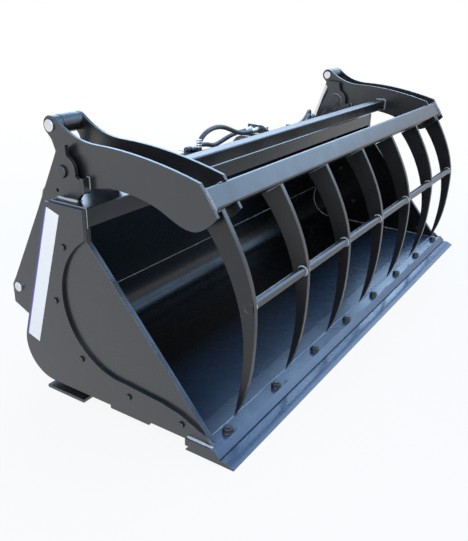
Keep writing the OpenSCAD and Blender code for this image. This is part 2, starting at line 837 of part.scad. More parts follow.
module coupler_holder() {
    rear_y = coupler_y[1] + 22;
    placed() color(paint) difference() {
        plate(holder_x, holder_x + holder_t)
            polygon([[holder_front, beam_top_z], [holder_front, beam_top_z + 10],
                     [coupler_y[0] - 20, coupler_z + 22], [rear_y, coupler_z + 22],
                     [rear_y, beam_top_z]]);
        for (y = coupler_y) bar_x(holder_x - 1, holder_x + holder_t + 1, y, coupler_z,
                                  coupler_neck_d + 2 * bolt_gap);
    }
}

module coupler() {
    af = 27;
    translate([-coupler_tail, 0, 0]) rotate([0, 90, 0]) cylinder(h = 15, d = 25);
    translate([-10, 0, 0]) rotate([0, 90, 0]) cylinder(h = 10, d = af / cos(30), $fn = 6);
    rotate([0, 90, 0]) cylinder(h = holder_t, d = coupler_neck_d);
    translate([holder_t, 0, 0]) rotate([0, 90, 0]) cylinder(h = 14, d = af / cos(30), $fn = 6);
    translate([holder_t + 14, 0, 0]) rotate([0, 90, 0]) cylinder(h = 26, d = 20);
    translate([holder_t + 40, 0, 0]) rotate([0, 90, 0]) cylinder(h = 30, d = 28);
}

module hose_couplers() {
    placed() color(zinc) for (y = coupler_y) translate([holder_x, y, coupler_z]) coupler();
}

clip_x = [(manifold_x - 160 - (cyl_x - 391.5)) / 2, 60, cyl_x - 471.5];

module hose_clips() {
    w = 20;
    low = run_z - hose_d / 2 - 4;
    placed() color(paint_dark) for (x = clip_x) difference() {
        plate(x - w / 2, x + w / 2)
            polygon([[wall_y(low, 0), low], [wall_y(beam_top_z, 0), beam_top_z],
                     [run_y[1] + hose_d / 2 + 4, beam_top_z], [run_y[1] + hose_d / 2 + 4, low]]);
        for (y = run_y) bar_x(x - w, x + w, y, run_z, hose_d + 2);
    }
}

// Routes of the hoses: points on their middle lines, y from the cutting tip.
// A rise starts straight out of a port; its later points count x inwards from the cylinder
port_x = cyl_x - port_reach - seat_gap;
port_run = 37;

function rise(s, points) =
    let (y = base_pin_y - s * sin(cyl_lean), z = base_pin_z + s * cos(cyl_lean))
    concat([[port_x, y, z], [port_x - port_run, y, z]], [for (p = points) [cyl_x - p[0], p[1], p[2]]]);

port_a_rise = rise(port_stations[0],
    [[123.5, 930, 394], [149.5, 905, 445], [161.5, 868, 520], [173.5, 828, 600], [191.5, 795, 662],
     [219.5, 772, 700], [256.5, 757, 708], [296.5, 745, 695], [341.5, 738, 681],
     [391.5, run_y[0], run_z]]);
port_b_rise = rise(port_stations[1],
    [[116.5, 913, 448], [133.5, 896, 500], [142.5, 864, 565], [147.5, 838, 625], [155.5, 812, 680],
     [172.5, 795, 714], [209.5, 782, 722], [256.5, 770, 707], [321.5, 762, 684],
     [391.5, run_y[1], run_z]]);

// The lines end at the manifold's two end faces, one behind the other
line_y = [manifold_y - 12, manifold_y + 12];
manifold_half = manifold_size[0] / 2;
function last_bend(i) = [[120, run_y[i] + 2, run_z], [85, line_y[i] - 1, run_z], [70, line_y[i], run_z],
                         [manifold_half + seat_gap, line_y[i], run_z]];
function left_end(i) = [for (p = concat([[160, run_y[i], run_z]], last_bend(i)))
                        [manifold_x - p[0], p[1], p[2]]];
function right_end(i) = concat(
    [for (x = [450, 300, 150, 0]) [x, run_y[i], run_z]],
    [for (p = concat([[190, run_y[i], run_z]], last_bend(i))) [manifold_x + p[0], p[1], p[2]]]);

supply_end = holder_x - coupler_tail - seat_gap;
socket_face = [socket_at[0], socket_at[1], manifold_top_z + socket_h + seat_gap];
elbow_face = [elbow_at[0] + elbow_reach + seat_gap, elbow_at[1], manifold_top_z + elbow_rise];
supply_a = concat(
    [socket_face, socket_face + [0, 0, 12]],
    [[-284, 744, 735], [-263, 745, 751], [-228, 747, 765], [-180, 750, 772], [-130, 753, 770],
     [-80, 757, 760], [-35, 760, 745], [10, 762, 729], [55, 763, 716], [100, 764, 710]],
    [for (x = [145, supply_end]) [x, coupler_y[0], coupler_z]]);
supply_b = concat(
    [elbow_face, elbow_face + [22, 0, 0]],
    [[-260, 771, 708], [-220, 777, 706], [-175, 785, 698], [-135, 792, 688], [-95, 798, 683],
     [-50, 800, 688], [-5, 800, 697], [45, 800, 705]],
    [for (x = [95, 145, supply_end]) [x, coupler_y[1], coupler_z]]);
function mirrored(points) = [for (p = points) [-p[0], p[1], p[2]]];

hose_sides = 10;
hose_ref = [0.1, 0.8, 0.6];

function unit(v) = v / norm(v);
function tangent(p, i) = unit(p[min(i + 1, len(p) - 1)] - p[max(i - 1, 0)]);
function ring(p, i, r) =
    let (t = tangent(p, i), u = unit(cross(t, hose_ref)), w = cross(t, u))
    [for (k = [0:hose_sides - 1]) p[i] + r * (cos(k * 360 / hose_sides) * u
                                              + sin(k * 360 / hose_sides) * w)];

module hose(p) {
    n = len(p);
    s = hose_sides;
    polyhedron(
        points = [for (i = [0:n - 1]) for (q = ring(p, i, hose_d / 2)) q],
        faces = concat(
            [[for (k = [0:s - 1]) k]],
            [[for (k = [s - 1:-1:0]) (n - 1) * s + k]],
            [for (i = [0:n - 2]) for (k = [0:s - 1])
                [i * s + k, (i + 1) * s + k, (i + 1) * s + (k + 1) % s]],
            [for (i = [0:n - 2]) for (k = [0:s - 1])
                [i * s + k, (i + 1) * s + (k + 1) % s, i * s + (k + 1) % s]]));
}

module cylinder_hoses_left() {
    placed() color(rubber) {
        hose(concat(mirrored(port_a_rise), left_end(0)));
        hose(concat(mirrored(port_b_rise), left_end(1)));
    }
}

module cylinder_hoses_right() {
    placed() color(rubber) {
        hose(concat(port_a_rise, right_end(0)));
        hose(concat(port_b_rise, right_end(1)));
    }
}

module supply_hoses() {
    placed() color(rubber) {
        hose(supply_a);
        hose(supply_b);
    }
}

heel_floor_sheet();
back_sheet();
top_beam();
end_sheet(-1);  // end_sheet_left
end_sheet(1);  // end_sheet_right
side_plate(-1);  // side_plate_left
side_plate(1);  // side_plate_right
mouth_bar(-1);  // mouth_bar_left
mouth_bar(1);  // mouth_bar_right
side_plate_bolts();
marker_strips();
toe_plate();
bolt_on_edge();
edge_bolts();
edge_nuts();
heel_wear_strip();
middle_wear_strip();
heel_packers();
tower_outer(-1);  // tower_outer_left
tower_outer(1);  // tower_outer_right
tower_inner(-1);  // tower_inner_left
tower_inner(1);  // tower_inner_right
tower_cheeks();
pivot_pins();
base_pins();
pin_keepers();
carriage_bracket(-1);  // carriage_bracket_left
carriage_bracket(1);  // carriage_bracket_right
bracket_backing_plates();
hose_manifold();
coupler_holder();
hose_couplers();
hose_clips();
cylinder_hoses_left();
cylinder_hoses_right();
supply_hoses();
grab_arm_outer(-1);  // grab_arm_outer_left
grab_arm_outer(1);  // grab_arm_outer_right
grab_arm_inner(-1);  // grab_arm_inner_left
grab_arm_inner(1);  // grab_arm_inner_right
pivot_bushes();
rod_pins();
rod_spacers();
closing_stops();
front_rail();
cross_rail();
tine(1);  // tine_1
tine(2);  // tine_2
tine(3);  // tine_3
tine(4);  // tine_4
tine(5);  // tine_5
tine(6);  // tine_6
tine(7);  // tine_7
tine_cross_bar();
barrel(-1);  // barrel_left
barrel(1);  // barrel_right
gland(-1);  // gland_left
gland(1);  // gland_right
rod(-1);  // rod_left
rod(1);  // rod_right
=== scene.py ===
"""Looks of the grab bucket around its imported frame: paint, weld beads, hoses, fittings, light and camera.

Everything is in metres in the row frame. A depth is a distance back from the cutting tip.
"""

import json
import math

import bpy
import numpy as np
from mathutils import Matrix, Vector

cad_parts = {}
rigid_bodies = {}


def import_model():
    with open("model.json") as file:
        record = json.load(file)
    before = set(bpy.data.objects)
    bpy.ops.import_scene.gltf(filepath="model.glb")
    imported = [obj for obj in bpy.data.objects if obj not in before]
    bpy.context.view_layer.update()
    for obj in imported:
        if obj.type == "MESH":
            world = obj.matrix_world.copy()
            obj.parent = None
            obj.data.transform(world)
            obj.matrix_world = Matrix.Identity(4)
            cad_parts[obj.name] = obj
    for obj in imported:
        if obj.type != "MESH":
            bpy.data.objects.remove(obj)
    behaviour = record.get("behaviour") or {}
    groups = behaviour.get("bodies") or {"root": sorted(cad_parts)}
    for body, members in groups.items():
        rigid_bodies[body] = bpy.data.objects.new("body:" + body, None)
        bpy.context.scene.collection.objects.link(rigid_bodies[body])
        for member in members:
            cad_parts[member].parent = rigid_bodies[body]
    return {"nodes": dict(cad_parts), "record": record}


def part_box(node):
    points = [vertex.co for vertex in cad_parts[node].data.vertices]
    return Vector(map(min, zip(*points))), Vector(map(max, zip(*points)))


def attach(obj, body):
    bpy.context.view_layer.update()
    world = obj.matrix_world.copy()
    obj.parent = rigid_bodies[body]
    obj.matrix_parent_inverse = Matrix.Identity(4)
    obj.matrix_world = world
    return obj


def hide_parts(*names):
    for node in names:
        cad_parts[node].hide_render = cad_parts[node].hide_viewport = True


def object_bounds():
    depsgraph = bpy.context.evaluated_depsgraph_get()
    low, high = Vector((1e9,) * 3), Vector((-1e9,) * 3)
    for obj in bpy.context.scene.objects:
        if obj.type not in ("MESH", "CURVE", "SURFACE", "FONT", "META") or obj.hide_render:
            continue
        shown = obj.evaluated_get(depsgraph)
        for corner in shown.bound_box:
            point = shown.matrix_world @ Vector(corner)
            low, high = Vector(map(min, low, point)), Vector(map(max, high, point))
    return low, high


for leftover in list(bpy.data.objects):
    bpy.data.objects.remove(leftover)

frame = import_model()
cad_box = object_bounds()

# Places read from the frame
TIP_Y = cad_box[0].y
HALF_W = cad_box[1].x


def depth_of(y):
    """Distance back from the cutting tip of a row frame y."""
    return y - TIP_Y


def at(x, depth, z):
    """A point from its x, its depth and its height."""
    return Vector((x, TIP_Y + depth, z))


SHELL_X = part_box("heel_floor_sheet")[1].x
SIDE_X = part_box("side_plate_right")[1].x
FLOOR_LOW_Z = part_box("heel_floor_sheet")[0].z
FLOOR_DEPTH = depth_of(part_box("heel_floor_sheet")[0].y)
SEAM_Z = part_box("heel_floor_sheet")[1].z
TOE_TOP_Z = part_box("toe_plate")[1].z
BEAM_LOW_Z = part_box("top_beam")[0].z
BEAM_TOP_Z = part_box("top_beam")[1].z
MOUTH_DEPTH = depth_of(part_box("top_beam")[0].y)
TOWER_XS = [x for node in ("tower_inner_right", "tower_outer_right") for x in
            (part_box(node)[0].x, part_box(node)[1].x)]
ARM_INNER_XS = [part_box("grab_arm_inner_right")[0].x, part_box("grab_arm_inner_right")[1].x]
ARM_OUTER_XS = [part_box("grab_arm_outer_right")[0].x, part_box("grab_arm_outer_right")[1].x]

# Driving dimensions of the shell, as in the part's source
SHELL_T = 0.008
HEEL_R = 0.125
HEEL_STEPS = 14
BACK_LEAN = math.radians(18)
BACK_TOP_DEPTH = depth_of(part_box("back_sheet")[0].y) + SHELL_T / math.cos(BACK_LEAN)
HEEL_Z = FLOOR_LOW_Z + HEEL_R
HEEL_DEPTH = BACK_TOP_DEPTH - (HEEL_R - (BEAM_TOP_Z - HEEL_Z) * math.sin(BACK_LEAN)) / math.cos(BACK_LEAN)

# Driving dimensions of the grab, depth and height
PIVOT = (0.684, 0.777)
ROD_PIN = (0.752, 0.905)
RAIL = (0.189, 0.750)
RAIL_HALF = 0.035
RAIL_CORNER_R = 0.009
RAIL_TILT = math.radians(34)
CROSS_RAIL = (0.433, 0.777)
CROSS_HALF = 0.024
CROSS_CORNER_R = 0.006
CROSS_BAR = (0.050, 0.460)
CROSS_BAR_R = 0.016

SIDES = (-1, 1)
TINE_NODES = ["tine_%d" % i for i in range(1, 8)]


def wall_depth(z, inset):
    """Depth of the back wall at a height, a distance inside its outer face."""
    return HEEL_DEPTH + (HEEL_R - inset - (z - HEEL_Z) * math.sin(BACK_LEAN)) / math.cos(BACK_LEAN)


def arc(centre, radius, start_deg, end_deg, steps):
    """Depth and height of points on an arc."""
    angles = [math.radians(start_deg + (end_deg - start_deg) * i / steps) for i in range(steps + 1)]
    return [(centre[0] + radius * math.cos(a), centre[1] + radius * math.sin(a)) for a in angles]


def heel_line(inset):
    """Depth and height along the floor, round the heel and up the wall, a distance inside the outer face."""
    bend = arc((HEEL_DEPTH, HEEL_Z), HEEL_R - inset, -90, math.degrees(BACK_LEAN), HEEL_STEPS)
    return [(FLOOR_DEPTH, FLOOR_LOW_Z + inset)] + bend


def tilted(centre, tilt, along, across):
    """Depth and height of a place on a section that is tilted about its centre."""
    c, s = math.cos(tilt), math.sin(tilt)
    return (centre[0] + along * c + across * s, centre[1] - along * s + across * c)


def rail_place(along, across):
    """Depth and height of a place on the front rail's section."""
    return tilted(RAIL, RAIL_TILT, along, across)


# Materials

def add_node(tree, kind, inputs=None, **settings):
    """A new node in a tree. Sockets among its inputs are linked, and plain values are set."""
    made = tree.nodes.new(kind)
    for key, value in settings.items():
        setattr(made, key, value)
    for key, value in (inputs or {}).items():
        if isinstance(value, bpy.types.NodeSocket):
            tree.links.new(value, made.inputs[key])
        else:
            made.inputs[key].default_value = value
    return made


def ranged(tree, value, low, high, to_low=0.0, to_high=1.0):
    """Carries the range from low to high over to another one, and holds it at the ends."""
    made = add_node(tree, "ShaderNodeMapRange", {"Value": value, "From Min": low, "From Max": high,
                                                 "To Min": to_low, "To Max": to_high})
    return made.outputs["Result"]


class Look:
    """A node material that is built step by step."""

    def __init__(self, name, **values):
        self.material = bpy.data.materials.new(name)
        self.material.use_nodes = True
        self.tree = self.material.node_tree
        self.shader = self.tree.nodes["Principled BSDF"]
        for socket, value in values.items():
            self.shader.inputs[socket.replace("_", " ")].default_value = value
        self.coords = self.node("ShaderNodeTexCoord")

    def node(self, kind, inputs=None, **settings):
        return add_node(self.tree, kind, inputs, **settings)

    def noise(self, scale, detail, roughness=0.5):
        """A cloudy pattern fixed to the object."""
        made = self.node("ShaderNodeTexNoise", {"Vector": self.coords.outputs["Object"], "Scale": scale,
                                                "Detail": detail, "Roughness": roughness})
        return made.outputs["Fac"]

    def remap(self, value, low, high, to_low=0.0, to_high=1.0):
        return ranged(self.tree, value, low, high, to_low, to_high)

    def times(self, a, b):
        return self.node("ShaderNodeMath", {0: a, 1: b}, operation="MULTIPLY").outputs[0]

    def blend(self, factor, low, high):
        made = self.node("ShaderNodeMix", {0: factor, 6: low, 7: high}, data_type="RGBA")
        return made.outputs[2]

    def edges(self, radius, gain):
        """1 on rounded edges and 0 on flats."""
        soft = self.node("ShaderNodeBevel", {"Radius": radius}, samples=4)
        true = self.node("ShaderNodeNewGeometry")
        dot = self.node("ShaderNodeVectorMath", {0: soft.outputs[0], 1: true.outputs["Normal"]},
                        operation="DOT_PRODUCT")
        return self.remap(dot.outputs["Value"], 1.0, 1.0 - 1.0 / gain)

    def facing_up(self, start, full=1.0):
        """Rises from 0 where the surface's own normal tilts up past start to 1 where its height is full."""
        split = self.node("ShaderNodeSeparateXYZ", {0: self.coords.outputs["Normal"]})
        return self.remap(split.outputs["Z"], start, full)

    def upright(self):
        """1 on upright faces and those that look down, and 0 on faces that look up."""
        split = self.node("ShaderNodeSeparateXYZ", {0: self.coords.outputs["Normal"]})
        return self.remap(split.outputs["Z"], UPRIGHT_END, 0.0)

    def facing_in(self):
        """1 on faces that look into the bucket and 0 on the others."""
        inward = self.node("ShaderNodeVectorMath", {0: INNER_POINT, 1: self.coords.outputs["Object"]},
                           operation="SUBTRACT")
        dot = self.node("ShaderNodeVectorMath", {0: inward.outputs[0], 1: self.coords.outputs["Normal"]},
                        operation="DOT_PRODUCT")
        return self.remap(dot.outputs["Value"], -INWARD_SOFT, INWARD_SOFT)

    def before_depth(self, start, end):
        """1 on upper faces from the cutting edge to start, falling to 0 at end."""
        split = self.node("ShaderNodeSeparateXYZ", {0: self.coords.outputs["Object"]})
        near = self.remap(split.outputs["Y"], TIP_Y + end, TIP_Y + start)
        return self.times(near, self.facing_up(UPPER_START, UPPER_FULL))

    def bump(self, height, distance, strength, under=None):
        inputs = {"Height": height, "Distance": distance, "Strength": strength}
        if under is not None:
            inputs["Normal"] = under
        return self.node("ShaderNodeBump", inputs).outputs[0]

    def feed(self, socket, value):
        self.tree.links.new(value, self.shader.inputs[socket])


def grey(level, blue=0.0):
    """A grey of a level, cooler by a share."""
    return (level * (1 - blue), level, level * (1 + blue), 1.0)


# Heights of a surface's normal where a face stops being upright, begins to look up, looks up and holds dust
UPRIGHT_END = 0.25
UPPER_START = 0.3
UPPER_FULL = 0.6
DUSTY_START = 0.80

# How soft the change is between faces that look into the bucket and the others
INWARD_SOFT = 0.01

# A point well inside the bucket
INNER_POINT = (0.0, -0.10, 0.35)

# Depths of the toe seam, and those between which the painted sky reflections on the toe and by the lip fade
# out
TOE_SEAM_DEPTH = 0.117
TOE_REFLECTION_START = TOE_SEAM_DEPTH - 0.002
TOE_REFLECTION_END = TOE_SEAM_DEPTH + 0.010
LIP_REFLECTION_START = 0.18
LIP_REFLECTION_END = 0.50

# Colours and gloss of the paint, with painted sky reflections by the lip, on the toe and on its bead,
# painted shade inside the bucket and on upright faces, and bare edges that are also a painted highlight
# Painted sky reflection: blue-grey on the upper faces by the lip, and navy on the tops of the toe and its
# bead
LIP_SKY_REFLECTION_COLOUR = (0.034, 0.058, 0.100, 1.0)
TOE_SKY_REFLECTION_COLOUR = (0.040, 0.076, 0.150, 1.0)
TOE_BEAD_SKY_REFLECTION_COLOUR = (0.21, 0.29, 0.43, 1.0)
PAINT_GLOSS = {"IOR": 1.5, "Specular_IOR_Level": 1.0, "Specular_Tint": (0.92, 0.96, 1.0, 1.0)}
# Painted shade inside the bucket: the colour and the gloss share of faces that look into it
INSIDE_SHADE_LEVEL = 0.002
INSIDE_SHADE_GLOSS = 0.5
# Painted shade: the gloss share left on faces that don't look up
UPRIGHT_SHADE_GLOSS = 0.5
DUST_LEVEL = 0.09
# Bare edges, lighter with wear and with a painted highlight
BARE_AND_HIGHLIT_EDGE_LEVEL = 0.30

# The paint's patterns as scale, detail and roughness, and the ranges of them that count
CLOUD = (2.6, 3.0)
CLOUD_SHADES = (0.8, 1.2)
DUST = (9.0, 6.0, 0.62)
DUST_RANGE = (0.35, 0.85)
CHIPS = (70.0, 5.0, 0.7)
CHIPS_RANGE = (0.36, 0.60)
GLOSS = (16.0, 6.0, 0.65)
GLOSS_RANGE = (0.20, 0.80)
PEEL = (330.0, 2.0)
WAVES = (11.0, 2.0)

# Height in metres and strength of the paint's relief, and the radius and gain that find its edges, lighter
# with wear and on the dark paint also a painted highlight
PEEL_RELIEF = (0.00020, 0.3)
WAVE_RELIEF = (0.0012, 0.15)
WORN_AND_HIGHLIT_EDGES = (0.0024, 7.0)


def paint(name, level, rough_low, rough_high, wear, dust=0.04, inside=False, lip=False, toe=None,
          upright=False):
    """Satin black paint on steel: a faint orange peel, cloudy gloss, dust on top, and edges lighter with
    wear and a painted highlight.

    inside paints shade on faces that look into the bucket with a darker colour and less gloss, and upright
    paints shade on faces that don't look up by taking gloss off them. lip paints the sky's blue-grey
    reflection on the upper faces by the cutting edge, and toe is the colour of the painted sky reflection on
    those before the toe seam.
    """
    look = Look(name, **PAINT_GLOSS)
    dark, light = CLOUD_SHADES
    colour = look.blend(look.noise(*CLOUD), grey(level * dark, 0.02), grey(level * light, 0.06))
    if inside:
        # Painted shade: faces that look into the bucket get a darker colour and less gloss
        inward = look.facing_in()
        colour = look.blend(inward, colour, grey(INSIDE_SHADE_LEVEL, 0.05))
        look.feed("Specular IOR Level", look.remap(inward, 0.0, 1.0, 1.0, INSIDE_SHADE_GLOSS))
    # Painted shade: less gloss on faces that don't look up
    if upright:
        look.feed("Specular IOR Level", look.remap(look.upright(), 0.0, 1.0, 1.0, UPRIGHT_SHADE_GLOSS))
    # Painted sky reflection: blue-grey on the upper faces by the cutting edge
    if lip:
        colour = look.blend(look.before_depth(LIP_REFLECTION_START, LIP_REFLECTION_END), colour, LIP_SKY_REFLECTION_COLOUR)
    # Painted sky reflection on the upper faces before the toe seam
    if toe:
        colour = look.blend(look.before_depth(TOE_REFLECTION_START, TOE_REFLECTION_END), colour, toe)
    dust_cloud = look.remap(look.noise(*DUST), *DUST_RANGE)
    dust_share = look.times(look.times(look.facing_up(DUSTY_START), dust_cloud), dust)
    colour = look.blend(dust_share, colour, grey(DUST_LEVEL, 0.10))
    # Edge wear, and on the dark paint's pin and nut rims a painted highlight
    chips = look.remap(look.noise(*CHIPS), *CHIPS_RANGE)
    worn_and_highlit = look.times(look.times(look.edges(*WORN_AND_HIGHLIT_EDGES), chips), wear)
    colour = look.blend(worn_and_highlit, colour, grey(BARE_AND_HIGHLIT_EDGE_LEVEL, 0.10))
    look.feed("Base Color", colour)
    look.feed("Roughness", look.remap(look.noise(*GLOSS), *GLOSS_RANGE, rough_low, rough_high))
    peel = look.bump(look.noise(*PEEL), *PEEL_RELIEF)
    look.feed("Normal", look.bump(look.noise(*WAVES), *WAVE_RELIEF, peel))
    return look.material


PATCHES = (38.0, 5.0, 0.6)
PATCHES_RANGE = (0.3, 0.7)
PATCH_SHADE = 0.72
TURNING = (900.0, 2.0)
TURNING_RELIEF = (0.00012, 0.4)


def bare_steel(name, colour, rough_low, rough_high):
    """Plated or bright steel with fine turning marks and dull patches."""
    look = Look(name, Metallic=1.0)
    patch = look.noise(*PATCHES)
    dull = tuple(PATCH_SHADE * c for c in colour)
    look.feed("Base Color", look.blend(patch, dull + (1.0,), colour + (1.0,)))
    look.feed("Roughness", look.remap(patch, *PATCHES_RANGE, rough_low, rough_high))
    look.feed("Normal", look.bump(look.noise(*TURNING), *TURNING_RELIEF))
    return look.material


RUBBER_CLOUD = (30.0, 4.0)
RUBBER_SHADES = (grey(0.020), grey(0.045, 0.03))
RUBBER_GLOSS = (60.0, 3.0)
RUBBER_GLOSS_RANGE = (0.3, 0.7)
RUBBER_ROUGHNESS = (0.42, 0.62)
WRAP = {"Scale": 1.0, "Distortion": 0.4, "Detail": 1.0}
WRAP_RELIEF = (0.0006, 0.5)


def hose_cover(name):
    """Matt rubber with the wrapped cloth pattern of a hydraulic hose."""
    look = Look(name, **PAINT_GLOSS)
    wrap = look.node("ShaderNodeTexWave", {"Vector": look.coords.outputs["UV"], **WRAP},
                     wave_type="BANDS", bands_direction="DIAGONAL")
    look.feed("Base Color", look.blend(look.noise(*RUBBER_CLOUD), *RUBBER_SHADES))
    gloss = look.noise(*RUBBER_GLOSS)
    look.feed("Roughness", look.remap(gloss, *RUBBER_GLOSS_RANGE, *RUBBER_ROUGHNESS))
    look.feed("Normal", look.bump(wrap.outputs["Fac"], *WRAP_RELIEF))
    return look.material


# How far in from the wall's outer face the film's violet line starts, and how soft that start is
FILM_EDGE_DEPTH = 0.0125
FILM_EDGE_SOFT = 0.0006
FILM_COLOUR = (0.985, 0.965, 0.935, 1.0)
SCUFF_COLOUR = (0.76, 0.75, 0.75, 1.0)
FILM_LINE_COLOUR = (0.16, 0.12, 0.62, 1.0)
SCUFFS = (26.0, 6.0, 0.7)
SCUFFS_RANGE = (0.52, 0.80)
SCUFF_SHARE = 0.22
FILM_ROUGHNESS = (0.32, 0.50)
FILM_GRAIN = (120.0, 2.0)
FILM_RELIEF = (0.0002, 0.3)


def white_film(name):
    """Plain white film with light scuffs and a thin violet line along its rear edge."""
    look = Look(name, IOR=1.46)
    scuff = look.remap(look.noise(*SCUFFS), *SCUFFS_RANGE)
    film = look.blend(look.times(scuff, SCUFF_SHARE), FILM_COLOUR, SCUFF_COLOUR)
    lean = (0.0, math.cos(BACK_LEAN), math.sin(BACK_LEAN))
    along = look.node("ShaderNodeVectorMath", {0: look.coords.outputs["Object"], 1: lean},
                      operation="DOT_PRODUCT").outputs["Value"]
    rear = (TIP_Y + wall_depth(0, 0)) * math.cos(BACK_LEAN)
    line = look.remap(along, rear - FILM_EDGE_DEPTH - FILM_EDGE_SOFT, rear - FILM_EDGE_DEPTH)
    look.feed("Base Color", look.blend(line, film, FILM_LINE_COLOUR))
    look.feed("Roughness", look.remap(scuff, 0.0, 1.0, *FILM_ROUGHNESS))
    look.feed("Normal", look.bump(look.noise(*FILM_GRAIN), *FILM_RELIEF))
    return look.material


# The rod: radius of its painted eye, how soft the paint's edge is, and the looks of paint and chrome
ROD_EYE_R = 0.034
ROD_EYE_SOFT = 0.0008
EYE_COLOUR = grey(0.016, 0.03)
EYE_ROUGHNESS = 0.34
STREAKS = (45.0, 5.0, 0.6)
CHROME_SHADES = (grey(0.62, 0.01), grey(0.76, 0.01))
CHROME_ROUGHNESS = 0.10
CHROME_GRAIN = (500.0, 2.0)
CHROME_RELIEF = (0.0001, 0.3)


def rod_finish(name):
    """Hard chrome on the rod, and black paint on the eye welded to its end."""
    look = Look(name, **PAINT_GLOSS)
    eye = (0.0, TIP_Y + ROD_PIN[0], ROD_PIN[1])
    flat = look.node("ShaderNodeVectorMath", {0: look.coords.outputs["Object"], 1: (0.0, 1.0, 1.0)},
                     operation="MULTIPLY").outputs["Vector"]
    away = look.node("ShaderNodeVectorMath", {0: flat, 1: eye}, operation="DISTANCE").outputs["Value"]
    chrome = look.remap(away, ROD_EYE_R, ROD_EYE_R + ROD_EYE_SOFT)
    bright = look.blend(look.noise(*STREAKS), *CHROME_SHADES)
    look.feed("Base Color", look.blend(chrome, EYE_COLOUR, bright))
    look.feed("Metallic", chrome)
    look.feed("Roughness", look.remap(chrome, 0.0, 1.0, EYE_ROUGHNESS, CHROME_ROUGHNESS))
    look.feed("Normal", look.bump(look.noise(*CHROME_GRAIN), *CHROME_RELIEF))
    return look.material


# Level, roughness and wear of the general paint
SATIN = {"level": 0.012, "rough_low": 0.22, "rough_high": 0.36, "wear": 0.5}
SHELL_SATIN = {**SATIN, "rough_high": 0.32, "dust": 0.01}

# Looks by material slot, and those of single pieces
LOOKS = {
    "satin_paint": paint("satin_black_paint", **SATIN),
    # The dark paint's strong edge wear also paints a highlight on the rims of pins and nuts
    "dark_paint": paint("black_paint", 0.009, 0.26, 0.42, wear=0.9),
    "zinc_steel": bare_steel("zinc_steel", (0.86, 0.88, 0.91), 0.26, 0.45),
    "rod_chrome": rod_finish("hard_chrome"),
    "hose_rubber": hose_cover("hose_rubber"),
    "marker_film": white_film("white_film"),
}
# The shell's look paints shade inside the bucket and the sky's reflection on the upper faces by the lip
SHELL_INSIDE_SHADE_LOOK = paint("satin_black_shell_inside_shade", **SHELL_SATIN, inside=True, lip=True)
# The toe plate and the bolt-on edge carry the painted sky reflection by the lip and on the toe
LIP_SKY_REFLECTION_LOOK = paint("satin_black_lip_sky_reflection", **SATIN, lip=True, toe=TOE_SKY_REFLECTION_COLOUR)
# Tines, rails and beam: painted shade on their upright faces
SIDE_SHADE_LOOK = paint("satin_black_side_shade", **SATIN, upright=True)
# Painted highlight: the beads' grey is far lighter than the paint round them, most of all on the tower feet,
# the outer toe welds and the cross bar; the toe seam's bead also carries a painted sky reflection
HIGHLIT_BEAD_LOOK = paint("weld_painted_highlight", 0.30, 0.10, 0.20, wear=0.6)
STRONG_HIGHLIT_BEAD_LOOK = paint("weld_strong_painted_highlight", 0.55, 0.08, 0.16, wear=0.6)
TOE_BEAD_HIGHLIT_LOOK = paint("toe_weld_painted_highlight", 0.20, 0.12, 0.22, wear=0.6, toe=TOE_BEAD_SKY_REFLECTION_COLOUR)

# Nodes that take a look of their own instead of their slot's
SHELL_NODES = ["heel_floor_sheet", "back_sheet", "end_sheet_left", "end_sheet_right",
               "mouth_bar_left", "mouth_bar_right"]
LIP_NODES = ["toe_plate", "bolt_on_edge"]
SIDE_SHADE_NODES = TINE_NODES + ["tine_cross_bar", "top_beam", "front_rail", "cross_rail"]
NODE_LOOKS = {}
for nodes, node_look in ((SHELL_NODES, SHELL_INSIDE_SHADE_LOOK), (LIP_NODES, LIP_SKY_REFLECTION_LOOK), (SIDE_SHADE_NODES, SIDE_SHADE_LOOK)):
    for node_name in nodes:
        NODE_LOOKS[node_name] = node_look

# The frame's own nodes: finish and softened edges

# Radius of the softened edges: the general one, and then by the start of a node's name, first match first
EDGE_R = 0.0012
EDGE_R_OF = {"tine_cross_bar": 0.0004, "tine": 0.0020, "top_beam": 0.0045, "bolt_on": 0.0010,
             "marker": 0.0003, "edge_nuts": 0.0014, "side_plate_bolts": 0.0022, "rod_pins": 0.0018,
             "base_pins": 0.0020, "pivot_pins": 0.0036, "pin_keepers": 0.0008, "hose_manifold": 0.0015,
             "hose_couplers": 0.0010, "rod_left": 0.0010, "rod_right": 0.0010}
SHARP_ANGLE = math.radians(32)
FLAT_ANGLE = math.radians(0.2)
JOIN_GAP = 0.00002
TURNING_ROOM = 0.00025
slot_of = {part["node"]: part["material_slot"] for part in frame["record"]["subparts"]}


def smooth_faces():
    """A node group that shades every face smooth."""
    group = bpy.data.node_groups.new("smooth_faces", "GeometryNodeTree")
    group.interface.new_socket("Geometry", in_out="INPUT", socket_type="NodeSocketGeometry")
    group.interface.new_socket("Geometry", in_out="OUTPUT", socket_type="NodeSocketGeometry")
    source = group.nodes.new("NodeGroupInput")
    smooth = group.nodes.new("GeometryNodeSetShadeSmooth")
    target = group.nodes.new("NodeGroupOutput")
    group.links.new(source.outputs[0], smooth.inputs["Geometry"])
    group.links.new(smooth.outputs[0], target.inputs[0])
    return group


SMOOTH_FACES = smooth_faces()


